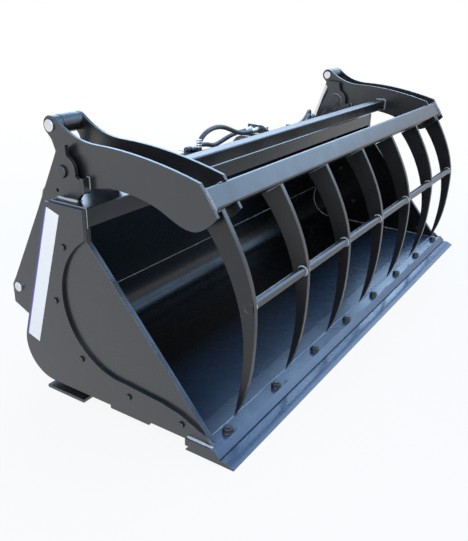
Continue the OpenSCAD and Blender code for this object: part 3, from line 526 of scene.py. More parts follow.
def soften(obj, radius):
    """Joins the imported faces, rounds the sharp edges and shades the flats flat."""
    weld = obj.modifiers.new("join_faces", "WELD")
    weld.merge_threshold = JOIN_GAP
    flats = obj.modifiers.new("whole_flats", "DECIMATE")
    flats.decimate_type = "DISSOLVE"
    flats.angle_limit = FLAT_ANGLE
    smooth = obj.modifiers.new("smooth_faces", "NODES")
    smooth.node_group = SMOOTH_FACES
    bevel = obj.modifiers.new("soft_edges", "BEVEL")
    bevel.width = radius
    bevel.segments = 2
    bevel.limit_method = "ANGLE"
    bevel.angle_limit = SHARP_ANGLE
    bevel.use_clamp_overlap = False
    normals = obj.modifiers.new("flat_shading", "WEIGHTED_NORMAL")
    normals.keep_sharp = False


def leave_room(obj, room):
    """Takes a hair off a pin's faces so that its facets clear those of the bush that turns on it."""
    shrink = obj.modifiers.new("turning_room", "DISPLACE")
    shrink.mid_level = 0.0
    shrink.strength = -room


def edge_radius(node):
    """Radius of a node's softened edges."""
    for start, radius in EDGE_R_OF.items():
        if node.startswith(start):
            return radius
    return EDGE_R


def finish_node(node, obj):
    """Gives a node of the frame its material, chosen by its slot or its own look, and its edges."""
    obj.data.materials.clear()
    obj.data.materials.append(NODE_LOOKS.get(node, LOOKS[slot_of[node]]))
    soften(obj, edge_radius(node))
    if node == "pivot_pins":
        leave_room(obj, TURNING_ROOM)


for node_name, node_object in frame["nodes"].items():
    finish_node(node_name, node_object)


# New pieces

def new_piece(name, mesh, body, slot_name, look=None):
    """Links a mesh as a piece that rides on a body."""
    mesh.materials.append(look or LOOKS[slot_name])
    for face in mesh.polygons:
        face.use_smooth = True
    obj = bpy.data.objects.new(name, mesh)
    bpy.context.scene.collection.objects.link(obj)
    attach(obj, body)
    return obj


class Sheaf:
    """Gathers tubes of rings into one mesh."""

    def __init__(self):
        self.points = []
        self.faces = []
        self.count = 0

    def add_rings(self, rings, closed=False):
        """Skins a list of equal rings; open ends are capped."""
        n, sides = len(rings), len(rings[0])
        base = self.count
        self.points.extend(rings)
        self.count += n * sides
        k = np.arange(sides)
        for i in range(n if closed else n - 1):
            a = base + i * sides
            b = base + (i + 1) % n * sides
            turn = (k + 1) % sides
            corners = (a + k, a + turn, b + turn, b + k)
            self.faces.extend(zip(*(corner.tolist() for corner in corners)))
        if not closed:
            self.faces.append(tuple((base + k[::-1]).tolist()))
            self.faces.append(tuple((base + (n - 1) * sides + k).tolist()))

    def mesh(self, name):
        """The gathered mesh."""
        made = bpy.data.meshes.new(name)
        made.from_pydata(np.concatenate(self.points).tolist(), [], self.faces)
        made.validate()
        made.update()
        return made


SAME_POINT = 1e-7


def resample(points, step, closed=False):
    """Even steps along a line of points, with the distance of each from the start."""
    line = np.array([tuple(p) for p in points], float)
    if closed:
        line = np.vstack([line, line[:1]])
    lengths = np.linalg.norm(np.diff(line, axis=0), axis=1)
    apart = lengths > SAME_POINT
    line = line[np.concatenate([[True], apart])]
    run = np.concatenate([[0], np.cumsum(lengths[apart])])
    count = max(4, int(round(run[-1] / step)))
    stations = np.linspace(0, run[-1], count + 1)
    if closed:
        stations = stations[:-1]
    return np.stack([np.interp(stations, run, line[:, c]) for c in range(3)], axis=1), stations


# A direction that no line here runs along
FIRST_ACROSS = np.array([0.31, 0.59, 0.75])


def frames_along(line, closed=False):
    """Unit directions along a line, and two across it that turn as little as possible."""
    if closed:
        along = np.roll(line, -1, axis=0) - np.roll(line, 1, axis=0)
    else:
        along = np.gradient(line, axis=0)
    along /= np.linalg.norm(along, axis=1)[:, None]
    across = np.zeros_like(along)
    last = FIRST_ACROSS
    for i, t in enumerate(along):
        last = last - t * (last @ t)
        last = last / np.linalg.norm(last)
        across[i] = last
    return along, across, np.cross(along, across)


# Radius of the weld beads, by piece
BEAD_R = {
    "welds_end_sheets_inside": 0.0038,
    "welds_end_sheets_outside": 0.0022,
    "welds_heel_seam": 0.0026,
    "welds_beam_to_wall": 0.0036,
    "welds_beam_ends": 0.0024,
    "welds_toe_seam": 0.0052,
    "welds_toe_to_floor": 0.0026,
    "welds_sides_to_toe_outside": 0.0064,
    "welds_sides_to_toe_inside": 0.0040,
    "welds_mouth_bars": 0.0030,
    "welds_towers_on_beam": 0.0075,
    "welds_towers_on_wall": 0.0050,
    "welds_cheeks": 0.0026,
    "welds_brackets": 0.0055,
    "welds_backing_plates": 0.0048,
    "welds_wear_strips": 0.0034,
    "welds_hose_stands": 0.0026,
    "welds_rail_ends": 0.0062,
    "welds_arms_to_rail": 0.0062,
    "welds_tine_tops": 0.0044,
    "welds_cross_bar": 0.0034,
    "welds_arm_bushes": 0.0036,
    "welds_rod_spacers": 0.0026,
    "welds_closing_stops": 0.0030,
}

# Shape of a weld bead: steps, ripples, swell and wander as shares of its radius, and lengths in metres
BEAD_SIDES = 7
BEAD_STEP = 0.45
RIPPLE_PITCH = 1.7
RIPPLE_DEPTH = 0.16
SLOW_SWELL = 0.10
SLOW_LENGTH = 0.017
QUICK_SWELL = 0.05
QUICK_LENGTH = 0.0061
WANDER = 0.12
WANDER_LENGTH = 0.029

# The share of its section that an open bead's end keeps
END_AREA = 0.25

# What the place of a bead's first point adds to the phase of its ripples
PHASE_SCALE = 10.0
PHASE_BY_PLACE = np.array([3.1, 5.3, 7.7])


def add_bead(sheaf, points, radius, closed=False):
    """A weld bead: a rippled, slightly wandering ridge along the root of the joint."""
    line, run = resample(points, radius * BEAD_STEP, closed)
    along, u, w = frames_along(line, closed)
    phase = PHASE_SCALE * abs(float(line[0] @ PHASE_BY_PLACE))
    wave = np.abs(np.sin(math.pi * run / (radius * RIPPLE_PITCH) + phase))
    ripple = 1 - RIPPLE_DEPTH + RIPPLE_DEPTH * wave
    slow = SLOW_SWELL * np.sin(run / SLOW_LENGTH + phase)
    quick = QUICK_SWELL * np.sin(run / QUICK_LENGTH + 2 * phase)
    size = radius * ripple * (1 + slow + quick)
    if not closed:
        fade = np.minimum(run, run[-1] - run) / radius
        size = size * np.sqrt(np.clip(END_AREA + (1 - END_AREA) * fade, 0.0, 1.0))
    drift = WANDER * radius * np.sin(run / WANDER_LENGTH + 3 * phase)
    angles = 2 * math.pi * np.arange(BEAD_SIDES) / BEAD_SIDES
    rings = [c + s * (np.cos(angles)[:, None] * a + np.sin(angles)[:, None] * b) + d * a
             for c, s, a, b, d in zip(line, size, u, w, drift)]
    sheaf.add_rings(rings, closed)


def beads(name, body, lines, loops=(), look=HIGHLIT_BEAD_LOOK):
    """One piece made of every weld bead in lines and closed loops."""
    sheaf = Sheaf()
    for points in lines:
        add_bead(sheaf, points, BEAD_R[name])
    for points in loops:
        add_bead(sheaf, points, BEAD_R[name], closed=True)
    new_piece(name, sheaf.mesh(name), body, "satin_paint", look)


def section_line(x, places):
    """Points at one x from places of depth and height."""
    return [at(x, p[0], p[1]) for p in places]


def across_line(half, depth, z):
    """A line across the width."""
    return [at(-half, depth, z), at(half, depth, z)]


def ring_line(x, centre, radius, steps=28):
    """A closed ring round an axis along X."""
    return section_line(x, arc(centre, radius, 0, 360, steps)[:-1])


# Weld beads of the bucket

def shell_welds():
    """Beads where the sheets of the shell and the top beam meet."""
    inner = heel_line(SHELL_T) + [(wall_depth(BEAM_LOW_Z, SHELL_T), BEAM_LOW_Z)]
    outer = heel_line(0) + [(wall_depth(BEAM_TOP_Z, 0), BEAM_TOP_Z)]
    beads("welds_end_sheets_inside", "bucket", [section_line(s * SHELL_X, inner) for s in SIDES])
    beads("welds_end_sheets_outside", "bucket", [section_line(s * SHELL_X, outer) for s in SIDES])
    seam = [across_line(SHELL_X, wall_depth(SEAM_Z, SHELL_T), SEAM_Z),
            across_line(SHELL_X, wall_depth(SEAM_Z, 0), SEAM_Z)]
    beads("welds_heel_seam", "bucket", seam)
    beads("welds_beam_to_wall", "bucket",
          [across_line(SHELL_X, wall_depth(BEAM_LOW_Z, SHELL_T), BEAM_LOW_Z),
           across_line(SHELL_X, wall_depth(BEAM_TOP_Z, SHELL_T), BEAM_TOP_Z)])
    front = [(MOUTH_DEPTH, BEAM_LOW_Z), (MOUTH_DEPTH, BEAM_TOP_Z),
             (wall_depth(BEAM_TOP_Z, SHELL_T), BEAM_TOP_Z)]
    beads("welds_beam_ends", "bucket", [section_line(s * SHELL_X, front) for s in SIDES])


# Depths of the front ends of the side plates, of the end sheets and of the beads inside these
SIDE_TOE_DEPTH = 0.080
END_TOE_DEPTH = 0.092
INSIDE_WELD_START = END_TOE_DEPTH + 0.05

# How far the bead on the toe plate's seam ends short of the full width, and how deep it is sunk in
TOE_SEAM_INSET = 0.008
TOE_SEAM_SINK = 0.0008


def toe_welds():
    """Beads on the toe plate: its seam, the floor's front edge and the feet of the sides."""
    beads("welds_toe_seam", "bucket",
          [across_line(HALF_W - TOE_SEAM_INSET, TOE_SEAM_DEPTH, TOE_TOP_Z - TOE_SEAM_SINK)],
          look=TOE_BEAD_HIGHLIT_LOOK)
    beads("welds_toe_to_floor", "bucket",
          [across_line(SHELL_X, FLOOR_DEPTH, FLOOR_LOW_Z + SHELL_T)], look=SHELL_INSIDE_SHADE_LOOK)
    outside = [(SIDE_TOE_DEPTH, TOE_TOP_Z), (FLOOR_DEPTH, TOE_TOP_Z)]
    inside = [(INSIDE_WELD_START, TOE_TOP_Z), (FLOOR_DEPTH, TOE_TOP_Z)]
    beads("welds_sides_to_toe_outside", "bucket",
          [section_line(s * SIDE_X, outside) for s in SIDES], look=STRONG_HIGHLIT_BEAD_LOOK)
    beads("welds_sides_to_toe_inside", "bucket", [section_line(s * SHELL_X, inside) for s in SIDES])


MOUTH_BAR_T = 0.012
MOUTH_BAR_W = 0.048
END_NOTCH_Z = 0.585


def mouth_bar_welds():
    """Beads along the rear edges and the feet of the bars that line the mouth."""
    run = (MOUTH_DEPTH - END_TOE_DEPTH, END_NOTCH_Z - TOE_TOP_Z)
    back = MOUTH_BAR_W * math.hypot(*run) / run[1]
    rear = [(END_TOE_DEPTH + back, TOE_TOP_Z), (MOUTH_DEPTH + back, END_NOTCH_Z),
            (MOUTH_DEPTH + back, BEAM_LOW_Z)]
    foot = [(END_TOE_DEPTH, TOE_TOP_Z), (END_TOE_DEPTH + back, TOE_TOP_Z)]
    beads("welds_mouth_bars", "bucket",
          [section_line(s * SHELL_X, rear) for s in SIDES]
          + [section_line(s * (SHELL_X - MOUTH_BAR_T), foot) for s in SIDES])


TOWER_FOOT_DEPTH = PIVOT[0] - 0.058
TOWER_LOW_Z = HEEL_Z + 0.050


def tower_welds():
    """Beads at the towers' feet on the beam and down the back wall."""
    on_beam = [(TOWER_FOOT_DEPTH, BEAM_TOP_Z), (BACK_TOP_DEPTH, BEAM_TOP_Z)]
    on_wall = [(wall_depth(BEAM_TOP_Z, 0), BEAM_TOP_Z), (wall_depth(TOWER_LOW_Z, 0), TOWER_LOW_Z)]
    beads("welds_towers_on_beam", "bucket",
          [section_line(s * x, on_beam) for s in SIDES for x in TOWER_XS], look=STRONG_HIGHLIT_BEAD_LOOK)
    beads("welds_towers_on_wall", "bucket",
          [section_line(s * x, on_wall) for s in SIDES for x in TOWER_XS])


CHEEK_R = 0.036
CHEEK_END_DEG = 203
CHEEK_LOWER = [(0.022, -0.066), (0.062, -0.066)]


def cheek_welds():
    """A bead round each cheek plate on the inner towers."""
    lower = [(PIVOT[0] + p[0], PIVOT[1] + p[1]) for p in CHEEK_LOWER]
    outline = arc(PIVOT, CHEEK_R, 0, CHEEK_END_DEG, 22) + lower
    beads("welds_cheeks", "bucket", [], [section_line(s * TOWER_XS[0], outline) for s in SIDES])


BACKING_T = 0.012
BRACKET_PLATE_T = 0.020
BRACKET_Z = (0.224, 0.645)


def bracket_welds():
    """Beads down the carriage brackets' plates and round their backing plates."""
    lines, loops = [], []
    low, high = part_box("bracket_backing_plates")
    for s, node in zip(SIDES, ("carriage_bracket_left", "carriage_bracket_right")):
        near, far = sorted(abs(v.x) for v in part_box(node))
        plate_faces = (near, near + BRACKET_PLATE_T, far - BRACKET_PLATE_T, far)
        run = [(wall_depth(z, -BACKING_T), z) for z in BRACKET_Z]
        lines += [section_line(s * x, run) for x in plate_faces]
        edge = far + near - high.x
        loops.append([at(s * x, wall_depth(z, 0), z) for x, z in
                      ((edge, low.z), (high.x, low.z), (high.x, high.z), (edge, high.z))])
    beads("welds_brackets", "bucket", lines)
    beads("welds_backing_plates", "bucket", [], loops)


def stitches(half, depth, z, length, pitch):
    """Short welds at an even pitch across the width."""
    count = int((2 * half - length) / pitch) + 1
    starts = [(i - (count - 1) / 2) * pitch - length / 2 for i in range(count)]
    return [[at(x, depth, z), at(x + length, depth, z)] for x in starts]


STITCH_LENGTH = 0.070
STITCH_PITCH = 0.240
STITCH_MARGIN = 0.03
PACKER_W = 0.070
PACKERS = 7


def wear_strip_welds():
    """Short beads along the middle wear strip and up the ends of the heel strip's packers."""
    low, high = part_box("middle_wear_strip")
    strip = [stitches(SIDE_X - STITCH_MARGIN, depth_of(y), high.z, STITCH_LENGTH, STITCH_PITCH)
             for y in (low.y, high.y)]
    pack_low, pack_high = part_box("heel_packers")
    pitch = (pack_high.x - pack_low.x - PACKER_W) / (PACKERS - 1)
    starts = [pack_low.x + i * pitch for i in range(PACKERS)]
    ends = [x for start in starts for x in (start, start + PACKER_W)]
    packers = [[Vector((x, pack_low.y, z)), Vector((x, pack_high.y, z))] for x in ends
               for z in (pack_low.z, pack_high.z)]
    beads("welds_wear_strips", "bucket", strip[0] + strip[1] + packers)


# Thickness of the manifold's shelf
SHELF_T = 0.006

# How far the beads under the coupler holder end short of its front and of the back wall's rear
HOLDER_WELD_FRONT = 0.004
HOLDER_WELD_REAR = 0.002


def small_bracket_welds():
    """Beads at the foot of the coupler holder and along the manifold's shelf."""
    holder_low, holder_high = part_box("coupler_holder")
    shelf_low, shelf_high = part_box("hose_manifold")
    foot = [(depth_of(holder_low.y) + HOLDER_WELD_FRONT, BEAM_TOP_Z),
            (BACK_TOP_DEPTH - HOLDER_WELD_REAR, BEAM_TOP_Z)]
    lines = [section_line(x, foot) for x in (holder_low.x, holder_high.x)]
    for z in (shelf_low.z, shelf_low.z + SHELF_T):
        depth = wall_depth(z, 0)
        lines.append([at(shelf_low.x, depth, z), at(shelf_high.x, depth, z)])
    beads("welds_hose_stands", "bucket", lines)


# Weld beads of the grab

def rounded_square(centre, half, corner, tilt):
    """Depth and height round a square tube with round corners."""
    places = []
    flat = half - corner
    for turn, (a, b) in enumerate(((flat, flat), (-flat, flat), (-flat, -flat), (flat, -flat))):
        places += arc((a, b), corner, 90 * turn, 90 * turn + 90, 4)
    return [tilted(centre, tilt, *place) for place in places]


# Distances from the front rail's edges where the arms' beads start, pass the corner and end
SEAT_START = 0.012
SEAT_CORNER = 0.004
SEAT_END = 0.006


def rail_welds():
    """Beads round the rails' ends and where the arms sit on the front rail."""
    rail = rounded_square(RAIL, RAIL_HALF, RAIL_CORNER_R, RAIL_TILT)
    cross = rounded_square(CROSS_RAIL, CROSS_HALF, CROSS_CORNER_R, 0)
    beads("welds_rail_ends", "grab", [],
          [section_line(s * ARM_OUTER_XS[0], rail) for s in SIDES]
          + [section_line(s * ARM_INNER_XS[0], cross) for s in SIDES])
    h = RAIL_HALF
    seat = [rail_place(-h + SEAT_START, h), rail_place(h - SEAT_CORNER, h),
            rail_place(h, h - SEAT_CORNER), rail_place(h, -h + SEAT_END)]
    beads("welds_arms_to_rail", "grab",
          [section_line(s * x, seat) for s in SIDES for x in ARM_INNER_XS])


TINE_WELD_START = 0.010
TINE_WELD_END = 0.003


def tine_welds():
    """Beads where the tines meet the front rail and the cross bar."""
    top = [rail_place(-RAIL_HALF + TINE_WELD_START, -RAIL_HALF),
           rail_place(RAIL_HALF - TINE_WELD_END, -RAIL_HALF)]
    faces = [corner.x for node in TINE_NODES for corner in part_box(node)]
    inner_faces = sorted(faces)[1:-1]
    lines = [section_line(x, top) for x in faces]
    loops = [ring_line(x, CROSS_BAR, CROSS_BAR_R, 20) for x in inner_faces]
    beads("welds_tine_tops", "grab", lines)
    beads("welds_cross_bar", "grab", [], loops, STRONG_HIGHLIT_BEAD_LOOK)


BUSH_R = 0.031
SPACER_WELD_R = 0.0266
STOP_WELD_RISE = 0.010
STOP_WELD_END = 0.002


def arm_welds():
    """Beads round the arms' bushes and rod spacers and at the closing stops."""
    bush = [ring_line(s * x, PIVOT, BUSH_R) for s in SIDES for x in ARM_INNER_XS + ARM_OUTER_XS]
    spacer = [ring_line(s * x, ROD_PIN, SPACER_WELD_R) for s in SIDES
              for x in (ARM_INNER_XS[1], ARM_OUTER_XS[0])]
    beads("welds_arm_bushes", "grab", [], bush)
    beads("welds_rod_spacers", "grab", [], spacer)
    low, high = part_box("closing_stops")
    rear, front = depth_of(high.y), depth_of(low.y)
    foot = [(front, low.z + STOP_WELD_RISE), (front, high.z), (rear - STOP_WELD_END, high.z)]
    beads("welds_closing_stops", "grab",
          [section_line(s * x, foot) for s in SIDES for x in (ARM_INNER_XS[0], ARM_OUTER_XS[1])])


# Hoses: the routes' points are those of the part's source, as x, depth and height

PORT_A_RISE = [
    (0.9422, 0.9364, 0.3813), (0.9052, 0.9364, 0.3813), (0.868, 0.930, 0.394), (0.842, 0.905, 0.445),
    (0.830, 0.868, 0.520), (0.818, 0.828, 0.600), (0.800, 0.795, 0.662), (0.772, 0.772, 0.700),
    (0.735, 0.757, 0.708), (0.695, 0.745, 0.695), (0.650, 0.738, 0.681), (0.600, 0.736, 0.677)]
PORT_B_RISE = [
    (0.9422, 0.9181, 0.4332), (0.9052, 0.9181, 0.4332), (0.875, 0.913, 0.448), (0.858, 0.896, 0.500),
    (0.849, 0.864, 0.565), (0.844, 0.838, 0.625), (0.836, 0.812, 0.680), (0.819, 0.795, 0.714),
    (0.782, 0.782, 0.722), (0.735, 0.770, 0.707), (0.670, 0.762, 0.684), (0.600, 0.760, 0.677)]
MANIFOLD_X = -0.325
LAST_BEND_A = [(0.120, 0.738, 0.677), (0.085, 0.742, 0.677), (0.070, 0.743, 0.677), (0.0483, 0.743, 0.677)]
LAST_BEND_B = [(0.120, 0.762, 0.677), (0.085, 0.766, 0.677), (0.070, 0.767, 0.677), (0.0483, 0.767, 0.677)]
LONG_RUN_XS = (0.450, 0.300, 0.150, 0.0)


def to_manifold(side, bend):
    """The last points of a hose into the manifold's left or right face."""
    return [(MANIFOLD_X + side * p[0], p[1], p[2]) for p in bend]


# Depth and height of the two level runs of hose
RUN_A = (0.736, 0.677)
RUN_B = (0.760, 0.677)
LEFT_A_END = to_manifold(-1, [(0.160,) + RUN_A] + LAST_BEND_A)
LEFT_B_END = to_manifold(-1, [(0.160,) + RUN_B] + LAST_BEND_B)
RIGHT_A_END = [(x,) + RUN_A for x in LONG_RUN_XS] + to_manifold(1, [(0.190,) + RUN_A] + LAST_BEND_A)
RIGHT_B_END = [(x,) + RUN_B for x in LONG_RUN_XS] + to_manifold(1, [(0.190,) + RUN_B] + LAST_BEND_B)
SUPPLY_A = [
    (-0.292, 0.743, 0.7103), (-0.292, 0.743, 0.7223), (-0.284, 0.744, 0.735), (-0.263, 0.745, 0.751),
    (-0.228, 0.747, 0.765), (-0.180, 0.750, 0.772), (-0.130, 0.753, 0.770), (-0.080, 0.757, 0.760),
    (-0.035, 0.760, 0.745), (0.010, 0.762, 0.729), (0.055, 0.763, 0.716), (0.100, 0.764, 0.710),
    (0.145, 0.764, 0.708), (0.1897, 0.764, 0.708)]
SUPPLY_B = [
    (-0.3187, 0.767, 0.706), (-0.2967, 0.767, 0.706), (-0.260, 0.771, 0.708), (-0.220, 0.777, 0.706),
    (-0.175, 0.785, 0.698), (-0.135, 0.792, 0.688), (-0.095, 0.798, 0.683), (-0.050, 0.800, 0.688),
    (-0.005, 0.800, 0.697), (0.045, 0.800, 0.705), (0.095, 0.800, 0.708), (0.145, 0.800, 0.708),
    (0.1897, 0.800, 0.708)]
HOSE_R = 0.010
HOSE_SIDES = 20
HOSE_STEP = 0.006


def mirrored(route):
    """A route on the other side."""
    return [(-p[0], p[1], p[2]) for p in route]


def smooth_route(route, steps=8):
    """A smooth curve through the points of a route."""
    p = np.array([tuple(at(*q)) for q in route])
    p = np.vstack([2 * p[0] - p[1], p, 2 * p[-1] - p[-2]])
    curve = []
    for i in range(1, len(p) - 2):
        for t in np.arange(steps) / steps:
            curve.append(0.5 * (2 * p[i] + (p[i + 1] - p[i - 1]) * t
                                + (2 * p[i - 1] - 5 * p[i] + 4 * p[i + 1] - p[i + 2]) * t * t
                                + (3 * p[i] - p[i - 1] - 3 * p[i + 1] + p[i + 2]) * t ** 3))
    curve.append(p[-2])
    return np.array(curve)


WRAPS_ROUND = 3
WRAP_LENGTH = 0.012


def hose(name, route, node):
    """A smooth hose along its route, with UVs that carry the cover's wrap round it."""
    line, run = resample(smooth_route(route), HOSE_STEP)
    along, u, w = frames_along(line)
    angles = 2 * math.pi * np.arange(HOSE_SIDES) / HOSE_SIDES
    rings = [c + HOSE_R * (np.cos(angles)[:, None] * a + np.sin(angles)[:, None] * b)
             for c, a, b in zip(line, u, w)]
    sheaf = Sheaf()
    sheaf.add_rings(rings)
    mesh = sheaf.mesh(name)
    uv = mesh.uv_layers.new(name="wrap")
    for face in mesh.polygons:
        turns = [v % HOSE_SIDES for v in face.vertices]
        wraps = max(turns) - min(turns) > 2
        for loop, v in zip(face.loop_indices, face.vertices):
            turn = v % HOSE_SIDES
            if wraps and turn == 0:
                turn = HOSE_SIDES
            uv.data[loop].uv = (turn / HOSE_SIDES * WRAPS_ROUND, run[v // HOSE_SIDES] / WRAP_LENGTH)
    obj = new_piece(name, mesh, "bucket", "hose_rubber")
    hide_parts(node)


def turned(sheaf, profile, start, direction, sides=24):
    """A turned part: profile is distances along direction with radii."""
    axis = Vector(direction).normalized()
    u = axis.orthogonal().normalized()
    w = axis.cross(u)
    angles = [2 * math.pi * k / sides for k in range(sides)]
    spokes = [u * math.cos(a) + w * math.sin(a) for a in angles]
    rings = [np.array([tuple(Vector(start) + axis * d + spoke * r) for spoke in spokes]) for d, r in profile]
    sheaf.add_rings(rings)


# A ferrule's profile: distances from the hose's end with radii
FERRULE = [
    (0.0, 0.0085), (0.0, 0.0114), (0.004, 0.0116), (0.0045, 0.0108), (0.0075, 0.0108), (0.008, 0.0118),
    (0.014, 0.0118), (0.0145, 0.0111), (0.0185, 0.0111), (0.019, 0.0118), (0.025, 0.0118),
    (0.0255, 0.0111), (0.0295, 0.0111), (0.030, 0.0117), (0.034, 0.0116), (0.0345, 0.0100)]


def ferrules():
    """Crimped steel ferrules with their nuts on every hose end."""
    ends = []
    ports = (PORT_A_RISE, PORT_B_RISE, mirrored(PORT_A_RISE), mirrored(PORT_B_RISE))
    for route in ports + (SUPPLY_A, SUPPLY_B):
        ends.append((at(*route[0]), at(*route[1]) - at(*route[0])))
    for route in (LEFT_A_END, LEFT_B_END, RIGHT_A_END, RIGHT_B_END, SUPPLY_A, SUPPLY_B):
        ends.append((at(*route[-1]), at(*route[-2]) - at(*route[-1])))
    sheaf = Sheaf()
    for start, direction in ends:
        turned(sheaf, FERRULE, start, direction)
    new_piece("hose_ferrules", sheaf.mesh("hose_ferrules"), "bucket", "zinc_steel")


def hoses():
    """The six hoses in place of the frame's plain ones, and their ferrules."""
    hose("hose_left_a", mirrored(PORT_A_RISE) + LEFT_A_END, "cylinder_hoses_left")
    hose("hose_left_b", mirrored(PORT_B_RISE) + LEFT_B_END, "cylinder_hoses_left")
    hose("hose_right_a", PORT_A_RISE + RIGHT_A_END, "cylinder_hoses_right")
    hose("hose_right_b", PORT_B_RISE + RIGHT_B_END, "cylinder_hoses_right")
    hose("hose_supply_a", SUPPLY_A, "supply_hoses")
    hose("hose_supply_b", SUPPLY_B, "supply_hoses")
    ferrules()


shell_welds()
toe_welds()
mouth_bar_welds()
tower_welds()
cheek_welds()
bracket_welds()
wear_strip_welds()
small_bracket_welds()
rail_welds()
tine_welds()
arm_welds()
hoses()

# Floor, light and camera

# The floor: half its width, its colour, and its share of glow near by, which grows to 1 at the far distance
FLOOR_HALF = 40.0
FLOOR_COLOUR = (0.86, 0.86, 0.86, 1.0)
FLOOR_GLOW = 0.88
GLOW_NEAR = 1.6
GLOW_FAR = 5.0

# Strength of the world as a light on surfaces
WORLD_LIGHT = 0.34


def seen_share(tree):
    """1 on camera, glossy and transmission rays, and 0 on the rays that light the surfaces."""
    path = add_node(tree, "ShaderNodeLightPath")
    total = path.outputs["Is Camera Ray"]
    for kind in ("Is Glossy Ray", "Is Transmission Ray"):
        either = add_node(tree, "ShaderNodeMath", {0: total, 1: path.outputs[kind]}, operation="MAXIMUM")
        total = either.outputs[0]
    return total


def pale_floor():
    """A plain pale floor that looks near white and keeps a soft shadow."""
    mesh = bpy.data.meshes.new("floor")
    h = FLOOR_HALF
    mesh.from_pydata([(-h, -h, 0), (h, -h, 0), (h, h, 0), (-h, h, 0)], [], [(0, 1, 2, 3)])
    material = bpy.data.materials.new("pale_floor")
    material.use_nodes = True
    tree = material.node_tree
    tree.nodes.clear()
    matt = add_node(tree, "ShaderNodeBsdfDiffuse", {"Color": FLOOR_COLOUR})
    glow = add_node(tree, "ShaderNodeEmission")
    coords = add_node(tree, "ShaderNodeTexCoord")
    reach = add_node(tree, "ShaderNodeVectorMath", {0: coords.outputs["Object"]}, operation="LENGTH")
    glow_share = ranged(tree, reach.outputs["Value"], GLOW_NEAR, GLOW_FAR, FLOOR_GLOW, 1.0)
    share = add_node(tree, "ShaderNodeMath", {0: seen_share(tree), 1: glow_share}, operation="MULTIPLY")
    mix = add_node(tree, "ShaderNodeMixShader",
                   {0: share.outputs[0], 1: matt.outputs[0], 2: glow.outputs[0]})
    add_node(tree, "ShaderNodeOutputMaterial", {"Surface": mix.outputs[0]})
    mesh.materials.append(material)
    floor = bpy.data.objects.new("floor", mesh)
    bpy.context.scene.collection.objects.link(floor)


# Colours of the world low down and overhead, and the sines of the elevations between which they blend
WHITE = (1.0, 1.0, 1.0, 1.0)
OVERHEAD = (0.36, 0.60, 1.0, 1.0)
OVERHEAD_START = 0.10
OVERHEAD_FULL = 0.50


def white_world():
    """White to the camera and in low reflections, bluer overhead, and a plain even light on the surfaces."""
    world = bpy.data.worlds.new("studio")
    world.use_nodes = True
    tree = world.node_tree
    tree.nodes.clear()
    coords = add_node(tree, "ShaderNodeTexCoord")
    split = add_node(tree, "ShaderNodeSeparateXYZ", {0: coords.outputs["Generated"]})
    overhead_share = ranged(tree, split.outputs["Z"], OVERHEAD_START, OVERHEAD_FULL)
    sky = add_node(tree, "ShaderNodeMix", {0: overhead_share, 6: WHITE, 7: OVERHEAD}, data_type="RGBA")
    strength = ranged(tree, seen_share(tree), 0.0, 1.0, WORLD_LIGHT, 1.0)
    background = add_node(tree, "ShaderNodeBackground", {"Color": sky.outputs[2], "Strength": strength})
    add_node(tree, "ShaderNodeOutputWorld", {"Surface": background.outputs[0]})
    bpy.context.scene.world = world


# Lamps by name: azimuth and elevation in degrees, distance, size, radiance and colour
LAMP_TARGET = Vector((0, 0, 0.4))
COOL = (0.52, 0.74, 1.0)
NEUTRAL = (1.0, 0.96, 0.91)
LAMPS = {
    "top_lamp": (0, 88, 4.5, (3.2, 3.2), 1.6, COOL),
    "front_lamp": (-26, 35, 6.5, (5.0, 4.0), 2.5, COOL),
    "far_lamp": (34, 32, 6.5, (6.4, 3.4), 4.4, COOL),
    "rear_lamp": (122, 33, 6.5, (6.0, 3.0), 1.0, COOL),
    "near_lamp": (196, 28, 6.5, (5.0, 3.0), 3.9, NEUTRAL),
}


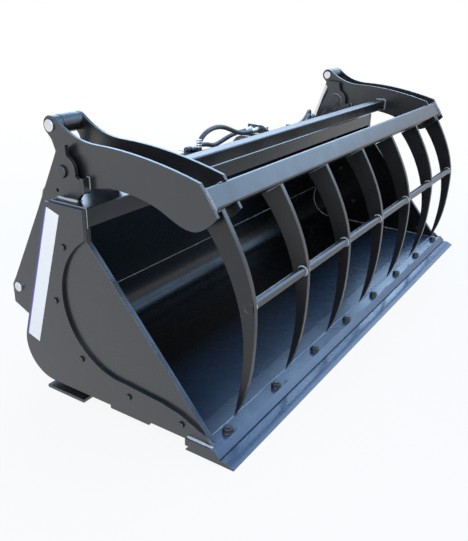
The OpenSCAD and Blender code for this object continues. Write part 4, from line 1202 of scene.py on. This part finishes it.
def soft_lamp(name, azimuth, elevation, distance, size, radiance, colour):
    """A large rectangular lamp round the object that the camera doesn't see. Azimuth 0 is on the +X side."""
    a, e = math.radians(azimuth), math.radians(elevation)
    away = Vector((math.cos(a) * math.cos(e), math.sin(a) * math.cos(e), math.sin(e)))
    data = bpy.data.lights.new(name, "AREA")
    data.shape = "RECTANGLE"
    data.size, data.size_y = size
    data.energy = radiance * math.pi * size[0] * size[1]
    data.color = colour
    lamp = bpy.data.objects.new(name, data)
    bpy.context.scene.collection.objects.link(lamp)
    lamp.location = LAMP_TARGET + away * distance
    lamp.rotation_mode = "QUATERNION"
    lamp.rotation_quaternion = (-away).to_track_quat("-Z", "Y")
    lamp.visible_camera = False


# The camera as fitted to the photograph: focal length over the long side of 541 pixels
CAMERA_PLACE = (-2.3822, -1.2764, 1.2573)
CAMERA_YAW = math.radians(32.66)
CAMERA_PITCH = math.radians(23.00)
CAMERA_ROLL = math.radians(1.03)
FOCAL_PX = 627.95
LONG_SIDE_PX = 541
SENSOR_MM = 36.0
CLIP_END = 200


def photo_camera():
    """The camera that took the photo, as far as its straight edges tell."""
    level_share = math.cos(CAMERA_PITCH)
    forward = Vector((math.cos(CAMERA_YAW) * level_share, math.sin(CAMERA_YAW) * level_share,
                      -math.sin(CAMERA_PITCH)))
    level = Vector((math.sin(CAMERA_YAW), -math.cos(CAMERA_YAW), 0))
    upright = level.cross(forward)
    right = level * math.cos(CAMERA_ROLL) + upright * math.sin(CAMERA_ROLL)
    up = upright * math.cos(CAMERA_ROLL) - level * math.sin(CAMERA_ROLL)
    data = bpy.data.cameras.new("camera")
    data.sensor_width = SENSOR_MM
    data.lens = FOCAL_PX / LONG_SIDE_PX * SENSOR_MM
    data.clip_end = CLIP_END
    camera = bpy.data.objects.new("camera", data)
    bpy.context.scene.collection.objects.link(camera)
    turn = Matrix((right, up, -forward)).transposed()
    camera.matrix_world = Matrix.Translation(CAMERA_PLACE) @ turn.to_4x4()
    bpy.context.scene.camera = camera


pale_floor()
white_world()
for lamp_name, lamp_values in LAMPS.items():
    soft_lamp(lamp_name, *lamp_values)
photo_camera()
bpy.context.scene.view_settings.view_transform = "Standard"
